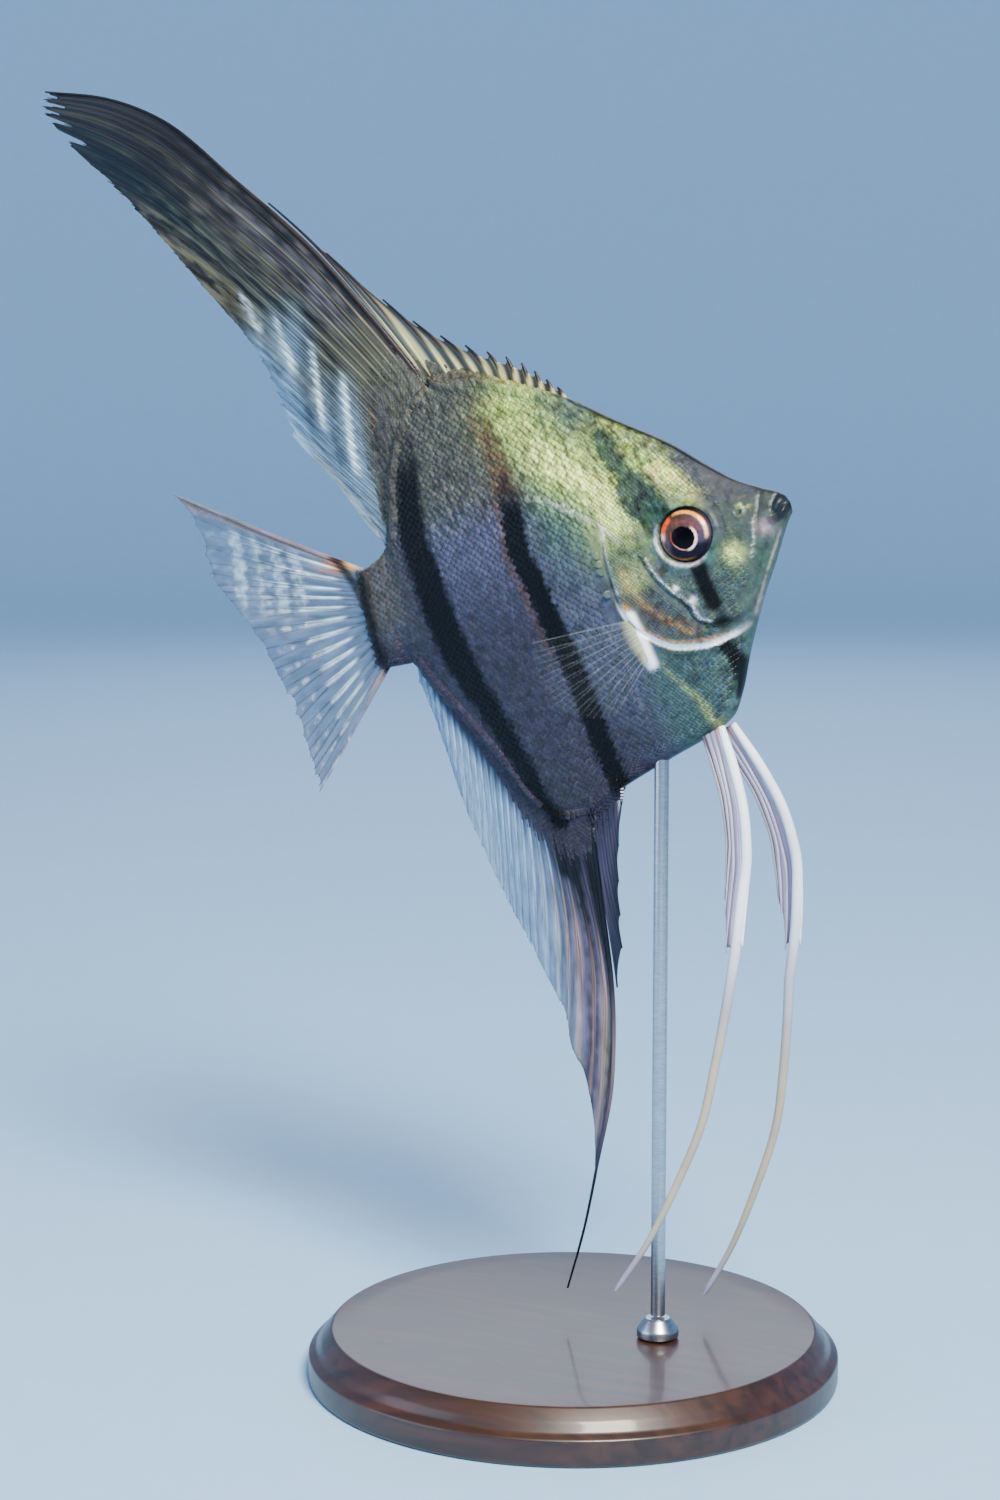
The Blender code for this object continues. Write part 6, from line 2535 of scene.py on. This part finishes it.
def fins() -> list[RayedFin]:
    """All the fins, in the order that they are built.

    Returns:
        The fins: dorsal, anal and tail, then the pectorals and pelvics by sides.
    """
    made: list[RayedFin] = [DorsalFin(), AnalFin(), CaudalFin()]
    for side in Side:
        left = side is Side.LEFT
        made.append(PectoralFin(f"pectoral_{side.label}", (f"pectoral_fin_{side.label}",), side=side))
        nodes = tuple(f"{start}_{side.label}{end}" for start, end in
                      (("pelvic_fin", ""), ("pelvic_feeler", "_upper"), ("pelvic_feeler", "_lower")))
        made.append(PelvicFin(f"pelvic_{side.label}", nodes, side=side, forward=1.9 if left else 0.0,
                              swing=0.016 if left else 0.0, longer=1.10 if left else 1.0,
                              seed=3 + side.value))
    return made


@dataclass
class Sheath(ScaleCoat):
    """Small scales that run from the body out over a fin's base, on both of its sides."""

    side: Side = Side.RIGHT
    fin: RayedFin | None = None
    label: str = ""
    spiny: bool = False
    blend: float = 2.0
    start: float = -2.3
    tall: Pairs = ((0.0, 8.0), (1.0, 8.0))
    pitch: float = 0.80
    row: float = 0.40

    def spot(self, u: Array, v: Array) -> tuple[Array, Array]:
        """x and z of the fin's base at u and v."""
        return self.fin.spiny_spot(u, v) if self.spiny else self.fin.spot(u, v)

    def reach(self, u: Array) -> Array:
        """How long the fin's rays are, in millimetres.

        Args:
            u: Places across the fin, from 0 to 1.

        Returns:
            The lengths of the rays there.
        """
        xa, za = self.spot(u, np.zeros(u.shape))
        xb, zb = self.spot(u, np.full(u.shape, 0.5))
        return 2 * np.hypot(xb - xa, zb - za)

    def surface(self, u: Array, v: Array, sign: float) -> Array:
        """Places on one side of the fin's base, in the fish's frame.

        Args:
            u: Places across the fin, from 0 to 1.
            v: Places along its rays, from 0 to 1.
            sign: The side's sign of y.

        Returns:
            Rows of x, y and z, in millimetres.
        """
        x, z = self.spot(u, v)
        low = np.maximum(v, 0)
        half = self.fin.spiny_thickness(low) if self.spiny else self.fin.thickness(u, low)
        away = self.reach(u)
        inner = FISH.flank(*self.spot(u, -self.blend / away))
        half = np.maximum(half + 0.04, FISH.flank(x, z) * (np.abs(FISH.share(x, z)) < 1) + 0.04)
        half = np.maximum(half, inner * smooth(1.1 * self.blend, -self.blend, v * away - 0.9))
        wave = 0.0 if self.spiny else self.fin.middle(x, z, u, v) - FISH.sway(x, z)
        return np.stack([x, wave + sign * half, z], -1)

    def spots(self) -> "Spots":
        """Where and how each scale of the sheath lies.

        Returns:
            The spots.
        """
        chance = np.random.default_rng(SEED + len(self.label))
        x0, z0 = self.spot(np.linspace(0, 1, 60), np.full(60, 0.02))
        along = np.concatenate([[0.0], np.cumsum(np.hypot(np.diff(x0), np.diff(z0)))])
        s, d = np.meshgrid(np.arange(0.3, along[-1] * (1.0 if self.spiny else 0.955), self.row),
                           np.arange(self.start, max(t for _, t in self.tall), self.pitch))
        d = d + (np.arange(s.shape[1]) % 2)[None, :] * self.pitch / 2
        s, d = s.ravel(), d.ravel() + chance.normal(0, 0.06, s.size)
        u = np.interp(s, along, np.linspace(0, 1, 60))
        away = self.reach(u)
        v = d / away
        out = d / along_x(self.tall, u)
        keep = (chance.uniform(0, 1, u.size) < smooth(1.05, 0.70, out)) & (away > 4.0)
        u, v, out = u[keep], v[keep], np.clip(out[keep], 0, 1)
        parts = []
        for sign in (-1, 1):
            here = self.surface(u, v, sign)
            up = self.surface(u, v + 0.01, sign) - here
            past = np.minimum(u + 0.01, 1.0)
            side = self.surface(past, v, sign) - self.surface(past - 0.01, v, sign)
            normal = np.cross(up, side)
            normal *= np.sign(normal[:, 1:2]) * sign / np.linalg.norm(normal, axis=1, keepdims=True)
            bake = np.stack([0.02 + 0.45 * u + 0.5 * (sign > 0), 0.03 + 0.94 * np.clip(out, 0, 1)], -1)
            size = self.pitch * (1 - 0.50 * out) * chance.uniform(0.9, 1.1, len(u))
            parts.append((FISH.place(*here.T), FISH.turn(normal), FISH.turn(up), size,
                          0.30 * (1 - 0.7 * out), np.full(len(u), 0.7), bake))
        return Spots(*(np.concatenate(part) for part in zip(*parts)))

    def build(self) -> bpy.types.Object:
        """Lays the scales of the sheath."""
        self.piece = self.lay(f"scales_{self.label}", self.spots())
        return self.piece


def sheaths(made: Sequence[RayedFin]) -> list[Sheath]:
    """The scaled bases of dorsal, anal and tail fin.

    Args:
        made: The fins, dorsal, anal and tail fin first.

    Returns:
        The sheaths.
    """
    dorsal, anal, caudal = made[:3]
    # How tall each sheath is, in millimetres, at shares of the way back along its fin.
    return [Sheath(fin=dorsal, label="dorsal_base",
                   tall=((0, 9.0), (0.35, 11.0), (0.6, 7.0), (0.85, 2.5), (1.0, 0.6))),
            Sheath(fin=dorsal, label="dorsal_spines_base", spiny=True,
                   tall=((0, 0.1), (0.5, 0.8), (0.8, 3.0), (1.0, 7.0))),
            Sheath(fin=anal, label="anal_base",
                   tall=((0, 7.0), (0.25, 8.0), (0.5, 4.0), (0.8, 1.6), (1.0, 0.4))),
            Sheath(fin=anal, label="anal_spines_base", spiny=True, tall=((0, 2.0), (1.0, 6.0))),
            Sheath(fin=caudal, label="caudal_base", blend=0.8, start=-0.9,
                   tall=((0, 2.6), (0.5, 1.6), (1.0, 2.6)))]


# Stand, studio and camera.

def turned(name: str, x: float, profile: Array, sides: int) -> bpy.types.Object:
    """Closed solid turned about an upright axis at x, from (radius, height) rows in millimetres.

    Args:
        name: The piece's name.
        x: Where the axis stands, in millimetres.
        profile: Radius and height of each ring, from the foot up.
        sides: How many sides a ring has.

    Returns:
        The piece.
    """
    a = np.linspace(0, math.tau, sides, endpoint=False)
    r, z = profile[:, :1], np.repeat(profile[:, 1:], sides, 1)
    ring = np.stack([x + r * np.cos(a), r * np.sin(a), z], -1)
    caps = np.array([[x, 0.0, profile[0, 1]], [x, 0.0, profile[-1, 1]]])
    points = np.concatenate([ring.reshape(-1, 3), caps]) * MM
    return mesh_piece(name, points, tube_faces(len(profile), sides))


@dataclass
class Stand:
    """Round walnut base with a steel collar and rod."""

    radius: float = 41.0
    thick: float = 8.0
    rod_x: float = 14.5
    rod_radius: float = 1.1
    collar_radius: float = 3.2
    # Oiled walnut: dark brown with a long grain, satin.
    wood: Finish = Finish("oiled_walnut", "#3A2116", "#23130C", 0.42, coat=0.25, stretch=(0.12, 1.0, 1.0),
                          grain_mm=2.2)
    # Brushed stainless steel: fine rings round the rod soften its reflections.
    steel: Finish = Finish("brushed_steel", "#B9BCC0", "#A2A6AB", 0.30, metallic=1.0,
                           stretch=(0.2, 0.2, 1.0), grain_mm=0.25, bump_mm=0.008)

    def softened(self, corners: Pairs, bend: float = 0.35) -> Array:
        """Profile whose corners are rounded by a few points each.

        Args:
            corners: Radius and height of each corner.
            bend: How far from a corner it is rounded.

        Returns:
            Radius and height of each point of the profile.
        """
        made = []
        points = np.asarray(corners, float)
        for k, corner in enumerate(points):
            if k in (0, len(points) - 1):
                made.append(corner)
                continue
            before, after = points[k - 1] - corner, points[k + 1] - corner
            cut = min(bend, 0.45 * np.hypot(*before), 0.45 * np.hypot(*after))
            a, b = corner + before / np.hypot(*before) * cut, corner + after / np.hypot(*after) * cut
            for t in np.linspace(0, 1, 5):
                made.append((1 - t) ** 2 * a + 2 * t * (1 - t) * corner + t * t * b)
        return np.array(made)

    def build(self) -> list[bpy.types.Object]:
        """Builds base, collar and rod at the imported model's sizes.

        Returns:
            The pieces.
        """
        r, top = self.radius, self.thick
        edge = ((r - 3.0, 0.0), (r - 0.5, 0.0), (r, 0.5), (r, 4.2), (r - 1.2, 4.9), (r - 2.0, 6.2),
                (r - 3.6, top), (r - 8.0, top))
        c = self.collar_radius
        low, high = (corner.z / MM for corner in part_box("stand_collar"))
        bottom, tip = (corner.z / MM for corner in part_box("stand_rod"))
        collar = ((c - 0.6, low), (c, low), (c, low + 1.2), (0.6 * c, high), (0.3 * c, high))
        rod_profile = ((0.5, bottom), (self.rod_radius, bottom), (self.rod_radius, tip), (0.5, tip))
        base = turned("walnut_base", 0.0, self.softened(edge), 128)
        ring = turned("steel_collar", self.rod_x, self.softened(collar, 0.25), 64)
        stem = turned("steel_rod", self.rod_x, self.softened(rod_profile, 0.15), 48)
        self.parts = [(base, "stand_base", "base_wood"), (ring, "stand_collar", "rod_steel"),
                      (stem, "stand_rod", "rod_steel")]
        return [part[0] for part in self.parts]

    def dress(self) -> None:
        """Gives each part its finish in place of its node."""
        finishes = {"rod_steel": self.steel.material(), "base_wood": self.wood.material()}
        for piece, node, slot in self.parts:
            piece.data.materials.append(finishes[slot])
            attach(piece, "root")
            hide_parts(node)


@dataclass
class Studio:
    """Round pale cove, soft lights and the camera."""

    flat_radius: float = 1.15
    wall_radius: float = 1.75
    wall_height: float = 2.2
    paper: Finish = Finish("matt_pale_paper", "#9CC6EA", "#9AC4E8", 0.85, grain_mm=6.0, bump_mm=0.02)
    camera_at: tuple[float, float, float] = (0.2095, -0.4181, 0.1635)

    def build(self) -> None:
        """Builds the cove, the lights and the world."""
        bend = self.wall_radius - self.flat_radius
        a = np.linspace(0, math.pi / 2, 24)
        rows = [(0.02, 0.0)] + [(r, 0.0) for r in np.linspace(0.1, self.flat_radius, 8)]
        rows += list(zip(self.flat_radius + bend * np.sin(a[1:]), bend * (1 - np.cos(a[1:]))))
        rows += [(self.wall_radius, h) for h in np.linspace(bend + 0.1, self.wall_height, 6)]
        profile = np.array(rows) / MM
        sides = 128
        turn = np.linspace(0, math.tau, sides, endpoint=False)
        ring = np.stack([profile[:, :1] * np.cos(turn), profile[:, :1] * np.sin(turn),
                         np.repeat(profile[:, 1:], sides, 1)], -1).reshape(-1, 3) * MM
        faces = grid_faces(len(profile), sides, ring=True).tolist()
        faces.append(list(range(sides)))
        mesh = bpy.data.meshes.new("cove")
        mesh.from_pydata(ring.tolist(), [], faces)
        mesh.shade_smooth()
        cove = into_scene("cove", mesh)
        mesh.materials.append(self.paper.material())
        self.light("key", (0.50, -0.50, 0.78), 0.34, 31.0, "#FFF8EC")
        self.light("fill", (-0.80, -0.75, 0.40), 0.80, 6.5, "#DDE9FF")
        self.light("back", (-0.40, 0.80, 0.60), 0.60, 3.0, "#F2F6FF")
        world = bpy.data.worlds.new("soft_room")
        world.use_nodes = True
        world.node_tree.nodes["Background"].inputs["Color"].default_value = linear("#DCE6F0")
        world.node_tree.nodes["Background"].inputs["Strength"].default_value = 0.24
        bpy.context.scene.world = world

    def light(self, name: str, place: tuple[float, float, float], size: float, watts: float,
              colour: str) -> None:
        """Adds a square soft light aimed at the fish.

        Args:
            name: The light's name.
            place: Where it stands, in metres.
            size: Its side, in metres.
            watts: Its power.
            colour: Its colour, as an sRGB hex value.
        """
        lamp = bpy.data.lights.new(name, "AREA")
        lamp.size, lamp.energy = size, watts
        lamp.color = linear(colour)[:3]
        made = into_scene(name, lamp)
        made.location = place
        aim = Vector((0.0, 0.0, FISH.height * MM)) - Vector(place)
        made.rotation_euler = aim.to_track_quat("-Z", "Y").to_euler()

    def camera(self) -> None:
        """Adds the camera that looks at the fish's right side, a little from the front and above."""
        lens = bpy.data.cameras.new("camera")
        lens.lens, lens.sensor_width = 75.0, 36.0
        made = into_scene("camera", lens)
        back = Vector((0.4649, -0.8744, 0.1392)).normalized()
        right = Vector((0.0, 0.0, 1.0)).cross(back).normalized()
        turn = Matrix((right, back.cross(right), back)).transposed()
        made.matrix_world = Matrix.Translation(self.camera_at) @ turn.to_4x4()
        bpy.context.scene.camera = made


def main() -> None:
    """Builds and dresses every piece in order."""
    logging.basicConfig(level=logging.INFO, format="%(message)s")
    studio = Studio()
    studio.build()
    studio.camera()
    made_fins = fins()
    coats = [ScaleCoat(side, part) for side in Side for part in ("head", "shoulder", "rear")]
    parts: list = [Skin(), *coats, *(Eye(side) for side in Side), *made_fins, *sheaths(made_fins), Stand()]
    for part in parts:
        made = part.build()
        for piece in made if isinstance(made, list) else [made]:
            report(piece)
        part.dress()


if __name__ == "__main__":
    main()
